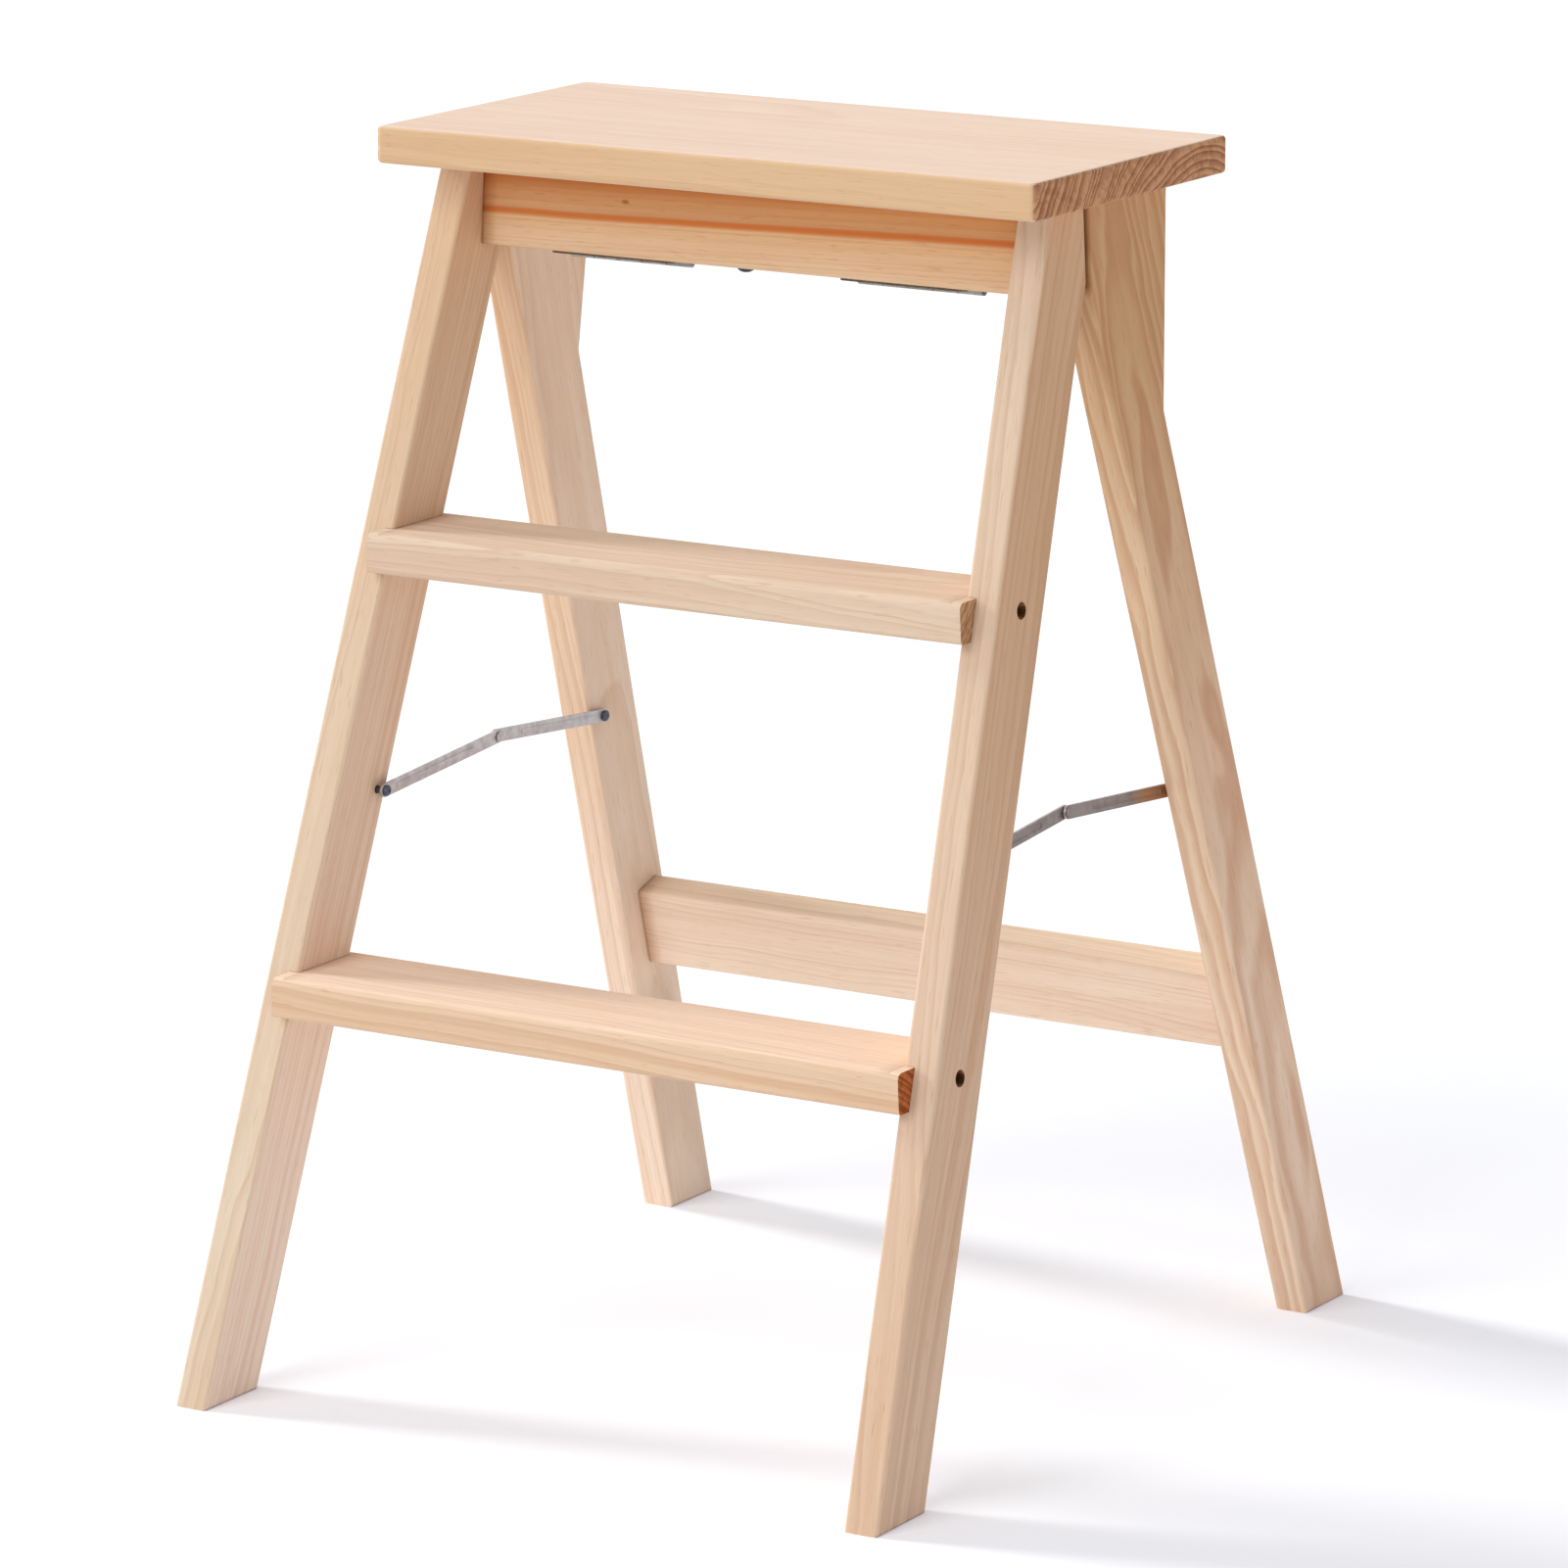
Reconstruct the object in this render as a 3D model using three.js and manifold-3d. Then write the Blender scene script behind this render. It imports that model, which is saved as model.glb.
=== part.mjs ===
// A folding three-step stool in solid pine. The splayed front frame carries the seat and two treads.
// The rear frame's dog-leg posts butt against the front stringers under the seat, hang on two butt
// hinges at the foot of that joint, and are held open by a pair of folding metal stays.
// Millimetres, +Z up, +X to the right of someone who climbs it, +Y towards the rear frame.
import * as THREE from 'three';
import { mergeVertices } from 'three/addons/utils/BufferGeometryUtils.js';
import Module from 'manifold-3d';

const wasm = await Module();
wasm.setup();

// Driving dimensions

const seatHeight = 630;
const seatWidth = 382;
const seatDepth = 195;
const seatThickness = 19;
const seatFrontOverhang = 40;
const seatCornerRadius = 3.5;
const seatEdgeRadius = 2;

const topWidth = 353.2;
const boardThickness = 18.6;
const edgeEase = 1.8;
const railEase = 1.5;
const leanAngle = THREE.MathUtils.degToRad(19);
const splayAngle = THREE.MathUtils.degToRad(2.64);

const stringerWidth = 43.8;
const stringerButtHeight = 35.3;
const rearFootWidth = 40;
const rearKneeWidth = 44.6;
const rearKneeDrop = 114;
const rearTopDepth = 82.5;
const rearButtHeight = 38.5;
const buttGap = 3;

const treadHeights = { middle: 429.3, lower: 213 };
const treadThickness = 20.5;
const treadNose = 16;
const treadNoseRadius = 4;
const treadUnderRadius = 2.5;
const treadTail = 5;
const treadTailRadius = 2;
const dadoDepth = 5.5;

const apronThickness = 23.8;
const apronHeight = 45.4;
const lowerRailTopHeight = 189.3;
const lowerRailWidth = 45.2;
const lowerRailSetback = 16.5;

const glueGap = 0.2;
const restGap = 0.4;
const holeClearance = 0.3;
const cutOverrun = 2;

// Hinges under the apron

const hingeLength = 72;
const hingeCentreX = 85;
const knuckleCount = 5;
const knuckleRadius = 3;
const knuckleBore = 1.75;
const knuckleGap = 0.5;
const hingePinRadius = 1.45;
const hingePinProud = 0.6;
const leafWidth = 21;
const leafThickness = 1.2;
const leafScrewSpacing = 25;

const leafScrew = { headRadius: 3, headHeight: 1.1, shankRadius: 1.4, length: 14 };
const treadScrew = { headRadius: 3.9, headHeight: 2.6, shankRadius: 1.9, length: 38 };
const treadScrewRecess = { radius: 4.4, depth: 6.5 };
const treadScrewDrop = 8.2;
const apronScrew = { headRadius: 4.6, headHeight: 3.6, shankRadius: 2, length: 30 };
const apronScrewX = -10;

// Stays on the inner faces, drawn from the front pivot to the rear pivot

const stayPivotHeight = 295.5;
const stayEdgeInset = 8.5;
const stayRise = 8.6;
const stayWidth = 7;
const stayThickness = 1.5;
const stayStandoff = 2;
const stayLayerGap = 0.3;
const openPivotGap = 1.7;
const stayScrew = { headRadius: 3, headHeight: 2.2, shankRadius: 1.9, length: 17 };
const rivet = { headRadius: 2.9, headHeight: 0.9, shankRadius: 1.7 };

const roundSegments = 20;
const easeSegments = 3;

// Places that follow from the driving dimensions

const frameTop = seatHeight - seatThickness;
const leanSlope = Math.tan(leanAngle);
const splaySlope = Math.tan(splayAngle);
const outerFaceX = topWidth / 2;
const innerFaceX = outerFaceX - boardThickness;
const stringerDepth = stringerWidth / Math.cos(leanAngle);
const rearFootDepth = rearFootWidth / Math.cos(leanAngle);
const rearKneeDepth = rearKneeWidth / Math.cos(leanAngle);
const apronBottom = frameTop - apronHeight;
const hingeAxisZ = apronBottom - glueGap - knuckleRadius;

// The leaning edges run from the plane y = 0, where the two frames' butt faces stand a small gap apart.
const stringerRearAt = (z) => -leanSlope * (frameTop - stringerButtHeight - z);
const stringerFrontAt = (z) => stringerRearAt(z) - stringerDepth;
const legFrontAt = (z) => leanSlope * (frameTop - rearButtHeight - z);

const stringerCrotch = frameTop - stringerButtHeight - buttGap / 2 / leanSlope;
const legCrotch = frameTop - rearButtHeight - buttGap / 2 / leanSlope;
const rearKneeHeight = frameTop - rearKneeDrop;
const frontFootReach = -stringerFrontAt(0);
const rearFootReach = legFrontAt(0) + rearFootDepth;

// Materials

const pine = (color) => new THREE.MeshStandardMaterial({ color, roughness: 0.55, metalness: 0 });
const steel = (color) => new THREE.MeshStandardMaterial({ color, roughness: 0.35, metalness: 0.9 });

// Boolean helpers

function toSolid(geometry) {
  const bare = geometry.clone();
  bare.deleteAttribute('normal');
  bare.deleteAttribute('uv');
  const merged = mergeVertices(bare);
  return new wasm.Manifold(new wasm.Mesh({
    numProp: 3,
    vertProperties: new Float32Array(merged.attributes.position.array),
    triVerts: new Uint32Array(merged.index.array),
  }));
}

function toGeometry(solid) {
  const mesh = solid.getMesh();
  const geometry = new THREE.BufferGeometry();
  geometry.setAttribute('position', new THREE.BufferAttribute(new Float32Array(mesh.vertProperties), 3));
  geometry.setIndex(new THREE.BufferAttribute(new Uint32Array(mesh.triVerts), 1));
  return geometry;
}

function cut(geometry, tools) {
  let solid = toSolid(geometry);
  for (const tool of tools) {
    solid = solid.subtract(toSolid(tool));
  }
  return toGeometry(solid);
}

function join(geometries) {
  let solid = toSolid(geometries[0]);
  for (const geometry of geometries.slice(1)) {
    solid = solid.add(toSolid(geometry));
  }
  return toGeometry(solid);
}

// Shape helpers

function mirrorX(geometry) {
  const mirrored = mergeVertices(geometry.clone()).scale(-1, 1, 1);
  const order = mirrored.index.array;
  for (let corner = 0; corner < order.length; corner += 3) {
    const kept = order[corner];
    order[corner] = order[corner + 1];
    order[corner + 1] = kept;
  }
  return mirrored;
}

// Leans every point outwards with its distance below the seat, as the frames are splayed.
function splay(geometry) {
  const place = geometry.attributes.position;
  for (let i = 0; i < place.count; i += 1) {
    const shift = splaySlope * (seatHeight - place.getZ(i));
    place.setX(i, place.getX(i) + Math.sign(place.getX(i)) * shift);
  }
  return geometry;
}

// A side profile, drawn as [y, z] points, sawn from a board that lies between x = from and x = to.
function board(points, from, to, ease = 0) {
  const outline = new THREE.Shape(points.map(([y, z]) => new THREE.Vector2(y, z)));
  return extrudeAlongX(outline, from, to, ease);
}

// A closed outline through [y, z, radius] corners, each of them rounded.
function roundedOutline(corners) {
  const places = corners.map(([y, z]) => new THREE.Vector2(y, z));
  const outline = new THREE.Shape();
  corners.forEach(([, , radius], index) => {
    const corner = places[index];
    const before = places.at(index - 1);
    const after = places[(index + 1) % places.length];
    const entry = before.clone().sub(corner).setLength(radius).add(corner);
    const exit = after.clone().sub(corner).setLength(radius).add(corner);
    if (index === 0) {
      outline.moveTo(entry.x, entry.y);
    } else {
      outline.lineTo(entry.x, entry.y);
    }
    outline.quadraticCurveTo(corner.x, corner.y, exit.x, exit.y);
  });
  return outline;
}

function extrudeAlongX(outline, from, to, ease = 0) {
  const geometry = new THREE.ExtrudeGeometry(outline, {
    depth: to - from - 2 * ease,
    curveSegments: roundSegments / 4,
    bevelEnabled: ease > 0,
    bevelThickness: ease,
    bevelSize: ease,
    bevelOffset: -ease,
    bevelSegments: easeSegments,
  });
  geometry.translate(0, 0, from + ease);
  const alongX = new THREE.Matrix4().makeBasis(
    new THREE.Vector3(0, 1, 0), new THREE.Vector3(0, 0, 1), new THREE.Vector3(1, 0, 0));
  return geometry.applyMatrix4(alongX);
}

function box(minX, maxX, minY, maxY, minZ, maxZ) {
  const geometry = new THREE.BoxGeometry(maxX - minX, maxY - minY, maxZ - minZ);
  return geometry.translate((minX + maxX) / 2, (minY + maxY) / 2, (minZ + maxZ) / 2);
}

// Turns a [radius, distance] profile about an axis that starts at a point and runs along a direction.
function turned(profile, start, direction) {
  const points = profile.map(([radius, distance]) => new THREE.Vector2(radius, distance));
  const geometry = new THREE.LatheGeometry(points, roundSegments);
  const turn = new THREE.Quaternion().setFromUnitVectors(new THREE.Vector3(0, 1, 0), direction);
  return geometry.applyQuaternion(turn).translate(start.x, start.y, start.z);
}

function bar(radius, length, start, direction) {
  return turned([[0, 0], [radius, 0], [radius, length], [0, length]], start, direction);
}

const towardsX = new THREE.Vector3(1, 0, 0);
const towardsMinusX = new THREE.Vector3(-1, 0, 0);
const upwards = new THREE.Vector3(0, 0, 1);

// A round-head screw: its head sits below the start point and its shank runs on from it.
function roundScrew(size, start, direction) {
  const domeSteps = 4;
  const profile = [];
  for (let step = 0; step <= domeSteps; step += 1) {
    const angle = (Math.PI / 2) * (step / domeSteps);
    profile.push([size.headRadius * Math.sin(angle), -size.headHeight * Math.cos(angle)]);
  }
  const tipLength = size.shankRadius;
  profile.push([size.shankRadius, 0], [size.shankRadius, size.length - tipLength], [0, size.length]);
  return turned(profile, start, direction);
}

// A countersunk screw: its flat head starts at the start point and narrows into the shank.
function countersunkScrew(size, start, direction) {
  const tipLength = size.shankRadius;
  return turned([
    [0, 0],
    [size.headRadius, 0],
    [size.shankRadius, size.headHeight],
    [size.shankRadius, size.length - tipLength],
    [0, size.length],
  ], start, direction);
}

// The hole that a screw's shank needs, deeper than the screw by the clearance.
function screwHole(size, start, direction) {
  const back = start.clone().addScaledVector(direction, -cutOverrun);
  return bar(size.shankRadius + holeClearance, size.length + cutOverrun + holeClearance, back, direction);
}

// Treads

// The tread's profile: a nose in front of the stringers and a tail that leans behind them.
function treadOutline(topHeight, grow) {
  const top = topHeight + grow;
  const bottom = topHeight - treadThickness - grow;
  const front = stringerFrontAt(topHeight) - treadNose - grow;
  const behind = treadTail + grow;
  return roundedOutline([
    [front, top, treadNoseRadius + grow],
    [front, bottom, treadUnderRadius + grow],
    [stringerRearAt(bottom) + behind, bottom, treadTailRadius + grow],
    [stringerRearAt(top) + behind, top, treadTailRadius + grow],
  ]);
}

// Each tread screw's head sits at the bottom of a recess in the stringer's outer face.
function treadScrewStart(topHeight) {
  const z = topHeight - treadScrewDrop;
  const y = (stringerFrontAt(z) + stringerRearAt(z)) / 2;
  return new THREE.Vector3(outerFaceX - treadScrewRecess.depth + holeClearance, y, z);
}

function treadBoard(topHeight) {
  const halfLength = innerFaceX + dadoDepth - glueGap;
  const blank = extrudeAlongX(treadOutline(topHeight, 0), -halfLength, halfLength);
  const hole = screwHole(treadScrew, treadScrewStart(topHeight), towardsMinusX);
  return splay(cut(blank, [hole, mirrorX(hole)]));
}

function treadScrewPiece(topHeight) {
  return splay(roundScrew(treadScrew, treadScrewStart(topHeight), towardsMinusX));
}

// Front stringers: a leaning board, upright where it butts against the rear leg

function frontStringer() {
  const butt = -buttGap / 2;
  const blank = board([
    [stringerFrontAt(0), 0],
    [stringerRearAt(0), 0],
    [butt, stringerCrotch],
    [butt, frameTop - glueGap],
    [stringerFrontAt(frameTop - glueGap), frameTop - glueGap],
  ], innerFaceX, outerFaceX, edgeEase);
  const tools = [];
  for (const topHeight of Object.values(treadHeights)) {
    const start = treadScrewStart(topHeight);
    const recessStart = start.clone();
    recessStart.x = outerFaceX - treadScrewRecess.depth;
    tools.push(extrudeAlongX(treadOutline(topHeight, glueGap), innerFaceX - cutOverrun, innerFaceX + dadoDepth));
    tools.push(bar(treadScrewRecess.radius, treadScrewRecess.depth + cutOverrun, recessStart, towardsX));
    tools.push(screwHole(treadScrew, start, towardsMinusX));
  }
  tools.push(screwHole(stayScrew, frontPivotStart(), towardsX));
  return splay(cut(blank, tools));
}

// Rear legs: a dog-leg board, deep under the seat and leaning back below its knee

function rearLeg() {
  const butt = buttGap / 2;
  const top = frameTop - restGap;
  return splay(board([
    [legFrontAt(0), 0],
    [rearFootReach, 0],
    [legFrontAt(rearKneeHeight) + rearKneeDepth, rearKneeHeight],
    [rearTopDepth, top],
    [butt, top],
    [butt, legCrotch],
  ], innerFaceX, outerFaceX, edgeEase));
}

// Rails between the sides

function rail(points) {
  const halfLength = innerFaceX - glueGap;
  const outline = roundedOutline(points.map(([y, z]) => [y, z, railEase]));
  return extrudeAlongX(outline, -halfLength, halfLength);
}

function uprightRail(front, rear, top) {
  return rail([[front, apronBottom], [rear, apronBottom], [rear, top], [front, top]]);
}

function frontApron() {
  const blank = splay(uprightRail(-apronThickness, -buttGap / 2, frameTop - glueGap));
  const holes = leafScrewStarts(-1).map((start) => screwHole(leafScrew, start, upwards));
  holes.push(screwHole(apronScrew, apronScrewStart(), upwards));
  return cut(blank, holes);
}

function upperRearRail() {
  const blank = splay(uprightRail(buttGap / 2, apronThickness, frameTop - restGap));
  const holes = leafScrewStarts(1).map((start) => screwHole(leafScrew, start, upwards));
  return cut(blank, holes);
}

// The lower rail leans with the legs, so its faces are square to the line of the legs.
function lowerRearRail() {
  const alongLeg = new THREE.Vector2(Math.sin(leanAngle), -Math.cos(leanAngle));
  const acrossLeg = new THREE.Vector2(Math.cos(leanAngle), Math.sin(leanAngle));
  const frontTop = new THREE.Vector2(
    legFrontAt(lowerRailTopHeight) + lowerRailSetback / Math.cos(leanAngle), lowerRailTopHeight);
  const rearTop = frontTop.clone().addScaledVector(acrossLeg, boardThickness);
  const rearBottom = rearTop.clone().addScaledVector(alongLeg, lowerRailWidth);
  const frontBottom = frontTop.clone().addScaledVector(alongLeg, lowerRailWidth);
  return splay(rail([frontBottom, rearBottom, rearTop, frontTop].map((point) => [point.x, point.y])));
}

function apronScrewStart() {
  return new THREE.Vector3(apronScrewX, -apronThickness / 2, apronBottom);
}

// Seat: a board with rounded corners and softened edges

function seatBoard() {
  const halfWidth = seatWidth / 2;
  const front = stringerFrontAt(frameTop) - seatFrontOverhang;
  const rear = front + seatDepth;
  const r = seatCornerRadius;
  const outline = new THREE.Shape();
  outline.absarc(halfWidth - r, rear - r, r, 0, Math.PI / 2, false);
  outline.absarc(-halfWidth + r, rear - r, r, Math.PI / 2, Math.PI, false);
  outline.absarc(-halfWidth + r, front + r, r, Math.PI, 1.5 * Math.PI, false);
  outline.absarc(halfWidth - r, front + r, r, 1.5 * Math.PI, 2 * Math.PI, false);
  const geometry = new THREE.ExtrudeGeometry(outline, {
    depth: seatThickness - 2 * seatEdgeRadius,
    curveSegments: roundSegments / 4,
    bevelThickness: seatEdgeRadius,
    bevelSize: seatEdgeRadius,
    bevelOffset: -seatEdgeRadius,
    bevelSegments: easeSegments,
  });
  return geometry.translate(0, 0, frameTop + seatEdgeRadius);
}

// Butt hinges: two leaves under the rails, with their knuckles in turn along one pin

function leafScrewStarts(side) {
  const y = side * (leafWidth + knuckleRadius) / 2;
  const z = apronBottom - glueGap - leafThickness;
  const starts = [];
  for (const centre of [-hingeCentreX, hingeCentreX]) {
    for (const step of [-1, 0, 1]) {
      starts.push(new THREE.Vector3(centre + step * leafScrewSpacing, y, z));
    }
  }
  return starts;
}

function hingeLeaf(centre, side) {
  const pitch = hingeLength / knuckleCount;
  const start = centre - hingeLength / 2;
  const top = hingeAxisZ + knuckleRadius;
  const inner = side * (knuckleRadius + knuckleGap);
  const plateEdges = [inner, side * leafWidth].sort((a, b) => a - b);
  const pieces = [box(start, start + hingeLength, ...plateEdges, top - leafThickness, top)];
  const bores = [];
  const firstKnuckle = side < 0 ? 0 : 1;
  for (let knuckle = firstKnuckle; knuckle < knuckleCount; knuckle += 2) {
    const from = start + knuckle * pitch + knuckleGap / 2;
    const to = from + pitch - knuckleGap;
    const tabEdges = [0, side * (knuckleRadius + knuckleGap + leafThickness)].sort((a, b) => a - b);
    pieces.push(box(from, to, ...tabEdges, top - leafThickness, top));
    pieces.push(bar(knuckleRadius, to - from, new THREE.Vector3(from, 0, hingeAxisZ), towardsX));
    const boreStart = new THREE.Vector3(from - cutOverrun, 0, hingeAxisZ);
    bores.push(bar(knuckleBore, to - from + 2 * cutOverrun, boreStart, towardsX));
  }
  const countersinks = leafScrewStarts(side)
    .filter((screwStart) => Math.sign(screwStart.x) === Math.sign(centre))
    .map((screwStart) => leafCountersink(screwStart));
  return cut(join(pieces), [...bores, ...countersinks]);
}

function leafCountersink(start) {
  const radius = leafScrew.headRadius + holeClearance;
  const narrow = leafScrew.shankRadius + holeClearance;
  return turned([
    [0, -cutOverrun],
    [radius, -cutOverrun],
    [radius, 0],
    [narrow, leafScrew.headHeight],
    [narrow, leafThickness + cutOverrun],
    [0, leafThickness + cutOverrun],
  ], start, upwards);
}

function hingePin(centre) {
  const length = hingeLength + 2 * hingePinProud;
  return bar(hingePinRadius, length, new THREE.Vector3(centre - length / 2, 0, hingeAxisZ), towardsX);
}

// Folding stays on the inner faces

const rearLinkOuter = innerFaceX - stayStandoff;
const rearLinkInner = rearLinkOuter - stayThickness;
const frontLinkOuter = rearLinkInner - stayLayerGap;
const frontLinkInner = frontLinkOuter - stayThickness;

const frontPivot = new THREE.Vector2(stringerRearAt(stayPivotHeight) - stayEdgeInset, stayPivotHeight);
const rearPivot = new THREE.Vector2(legFrontAt(stayPivotHeight) + stayEdgeInset, stayPivotHeight);
const middlePivot = new THREE.Vector2((frontPivot.x + rearPivot.x) / 2, stayPivotHeight + stayRise);

function frontPivotStart() {
  return new THREE.Vector3(frontLinkInner - stayLayerGap, frontPivot.x, frontPivot.y);
}

function stayLink(from, to, innerX, outerX, holeRadii) {
  const angle = to.clone().sub(from).angle();
  const radius = stayWidth / 2;
  const outline = new THREE.Shape();
  outline.absarc(to.x, to.y, radius, angle - Math.PI / 2, angle + Math.PI / 2, false);
  outline.absarc(from.x, from.y, radius, angle + Math.PI / 2, angle + 1.5 * Math.PI, false);
  [from, to].forEach((centre, end) => {
    const hole = new THREE.Path();
    hole.absarc(centre.x, centre.y, holeRadii[end], 0, 2 * Math.PI, true);
    outline.holes.push(hole);
  });
  return splay(extrudeAlongX(outline, innerX, outerX));
}

const screwEye = stayScrew.shankRadius + holeClearance;
const rivetEye = rivet.shankRadius + holeClearance;

function frontLink() {
  return stayLink(frontPivot, middlePivot, frontLinkInner, frontLinkOuter, [screwEye, rivetEye]);
}

function rearLink() {
  return stayLink(middlePivot, rearPivot, rearLinkInner, rearLinkOuter, [rivetEye, screwEye]);
}

function frontPivotScrew() {
  return splay(roundScrew(stayScrew, frontPivotStart(), towardsX));
}

// The rear pivot is where the closed linkage is opened: its screw stays with the link
// and its shank ends short of the leg, which comes nearer while the frame folds.
function rearPivotScrew() {
  const startX = rearLinkInner - stayLayerGap;
  const size = { ...stayScrew, length: innerFaceX - startX - openPivotGap };
  return splay(roundScrew(size, new THREE.Vector3(startX, rearPivot.x, rearPivot.y), towardsX));
}

function stayRivet() {
  const innerEnd = frontLinkInner - stayLayerGap;
  const outerEnd = rearLinkOuter + stayLayerGap;
  return splay(turned([
    [0, -rivet.headHeight],
    [rivet.headRadius, -rivet.headHeight / 3],
    [rivet.headRadius, 0],
    [rivet.shankRadius, 0],
    [rivet.shankRadius, outerEnd - innerEnd],
    [rivet.headRadius, outerEnd - innerEnd],
    [rivet.headRadius, outerEnd - innerEnd + rivet.headHeight / 3],
    [0, outerEnd - innerEnd + rivet.headHeight],
  ], new THREE.Vector3(innerEnd, middlePivot.x, middlePivot.y), towardsX));
}

// Assembly: the pieces are drawn about the joint plane and moved so the footprint is centred

const stool = new THREE.Group();
const pieces = new THREE.Group();
pieces.position.y = (frontFootReach - rearFootReach) / 2;
stool.add(pieces);

function place(name, geometry, material) {
  geometry.computeVertexNormals();
  const mesh = new THREE.Mesh(geometry, material);
  mesh.name = name;
  pieces.add(mesh);
}

function placePair(name, rightGeometry, colour, finish) {
  place(`right_${name}`, rightGeometry, finish(colour));
  place(`left_${name}`, mirrorX(rightGeometry), finish(colour));
}

place('seat_board', seatBoard(), pine(0xf0cfa4));
place('front_apron', frontApron(), pine(0xd9a877));
place('upper_rear_rail', upperRearRail(), pine(0xdbb083));
place('lower_rear_rail', lowerRearRail(), pine(0xe6bd8f));
placePair('front_stringer', frontStringer(), 0xe9c397, pine);
placePair('rear_leg', rearLeg(), 0xe2b98a, pine);

for (const [level, topHeight] of Object.entries(treadHeights)) {
  place(`${level}_tread`, treadBoard(topHeight), pine(0xeac79c));
  placePair(`${level}_tread_screw`, treadScrewPiece(topHeight), 0x5a4a3c, steel);
}

for (const [side, sign] of Object.entries({ left: -1, right: 1 })) {
  place(`${side}_hinge_front_leaf`, hingeLeaf(sign * hingeCentreX, -1), steel(0x8c8a88));
  place(`${side}_hinge_rear_leaf`, hingeLeaf(sign * hingeCentreX, 1), steel(0x8c8a88));
  place(`${side}_hinge_pin`, hingePin(sign * hingeCentreX), steel(0x9a9896));
}
for (const [leaf, side] of Object.entries({ front: -1, rear: 1 })) {
  leafScrewStarts(side).forEach((start, index) => {
    const screw = countersunkScrew(leafScrew, start, upwards);
    place(`hinge_${leaf}_screw_${index + 1}`, screw, steel(0x77757a));
  });
}
place('apron_screw', roundScrew(apronScrew, apronScrewStart(), upwards), steel(0x6b645e));

placePair('stay_front_link', frontLink(), 0x9c9492, steel);
placePair('stay_rear_link', rearLink(), 0x9c9492, steel);
placePair('stay_rivet', stayRivet(), 0x85807e, steel);
placePair('stay_front_screw', frontPivotScrew(), 0x4a4f5c, steel);
placePair('stay_rear_screw', rearPivotScrew(), 0x4a4f5c, steel);

export default stool;
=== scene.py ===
import bpy
import bmesh
import math
from mathutils import Matrix, Vector


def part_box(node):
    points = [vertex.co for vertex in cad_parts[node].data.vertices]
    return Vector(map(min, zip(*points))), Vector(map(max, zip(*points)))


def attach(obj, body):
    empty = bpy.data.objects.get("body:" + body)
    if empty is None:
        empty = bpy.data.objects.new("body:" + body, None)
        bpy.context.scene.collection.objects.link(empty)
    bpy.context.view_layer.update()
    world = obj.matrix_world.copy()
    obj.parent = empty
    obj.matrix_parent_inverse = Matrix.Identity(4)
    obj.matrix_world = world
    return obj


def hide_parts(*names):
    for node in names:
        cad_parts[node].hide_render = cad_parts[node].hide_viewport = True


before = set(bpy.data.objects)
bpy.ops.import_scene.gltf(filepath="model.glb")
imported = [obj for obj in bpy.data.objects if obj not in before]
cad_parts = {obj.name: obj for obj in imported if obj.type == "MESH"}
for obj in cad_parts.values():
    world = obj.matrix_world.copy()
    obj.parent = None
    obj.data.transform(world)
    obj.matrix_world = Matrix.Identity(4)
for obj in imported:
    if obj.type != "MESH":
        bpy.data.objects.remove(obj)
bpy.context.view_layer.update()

# Sizes shared with the CAD part, in metres
mm = 0.001
stool = {
    "seatHeight": 630 * mm,
    "lean": math.tan(math.radians(19)),     # how far the sides lean back per metre of height
    "splay": math.tan(math.radians(2.64)),  # how far the sides spread per metre below the seat
    "jointPlane": 2.56 * mm,                # y of the plane where the two frames butt
    "innerFace": 158 * mm,                  # inner face of the sides, at the seat's top
    "outerFace": 176.6 * mm,
}
sides = {"left": -1, "right": 1}
shadeSpan = 10 * mm  # small distances are stretched to this span, because a ramp has only 256 steps

bpy.ops.object.select_all(action="DESELECT")  # the CAD nodes come in selected


# Node helpers

def newMaterial(name):
    material = bpy.data.materials.new(name)
    material.use_nodes = True
    material.node_tree.nodes.clear()
    return material


def addNode(tree, kind, place, **settings):
    node = tree.nodes.new(kind)
    node.location = place
    for setting, value in settings.items():
        setattr(node, setting, value)
    return node


def feed(tree, socket, value):
    # links another node's output, or writes a number, a vector or a colour into the socket
    if isinstance(value, bpy.types.NodeSocket):
        tree.links.new(value, socket)
    elif socket.type == "RGBA":
        socket.default_value = (*value, 1.0)
    elif value is not None:
        socket.default_value = value


def mathNode(tree, operation, place, first, second=None, clamp=False):
    node = addNode(tree, "ShaderNodeMath", place, operation=operation, use_clamp=clamp)
    feed(tree, node.inputs[0], first)
    feed(tree, node.inputs[1], second)
    return node.outputs[0]


def vectorNode(tree, operation, place, first, second=None):
    node = addNode(tree, "ShaderNodeVectorMath", place, operation=operation)
    feed(tree, node.inputs[0], first)
    feed(tree, node.inputs[1], second)
    return node.outputs["Value" if operation in ("LENGTH", "DOT_PRODUCT") else "Vector"]


def splitNode(tree, place, vector):
    node = addNode(tree, "ShaderNodeSeparateXYZ", place)
    feed(tree, node.inputs[0], vector)
    return node.outputs


def noiseNode(tree, place, vector, scale, detail=2.0, roughness=0.5):
    node = addNode(tree, "ShaderNodeTexNoise", place)
    node.inputs["Scale"].default_value = scale
    node.inputs["Detail"].default_value = detail
    node.inputs["Roughness"].default_value = roughness
    feed(tree, node.inputs["Vector"], vector)
    return node.outputs


def lineNoiseNode(tree, place, along, scale, detail):
    # noise that follows a single number
    node = addNode(tree, "ShaderNodeTexNoise", place, noise_dimensions="1D")
    node.inputs["Scale"].default_value = scale
    node.inputs["Detail"].default_value = detail
    feed(tree, node.inputs["W"], along)
    return node.outputs["Fac"]


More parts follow.
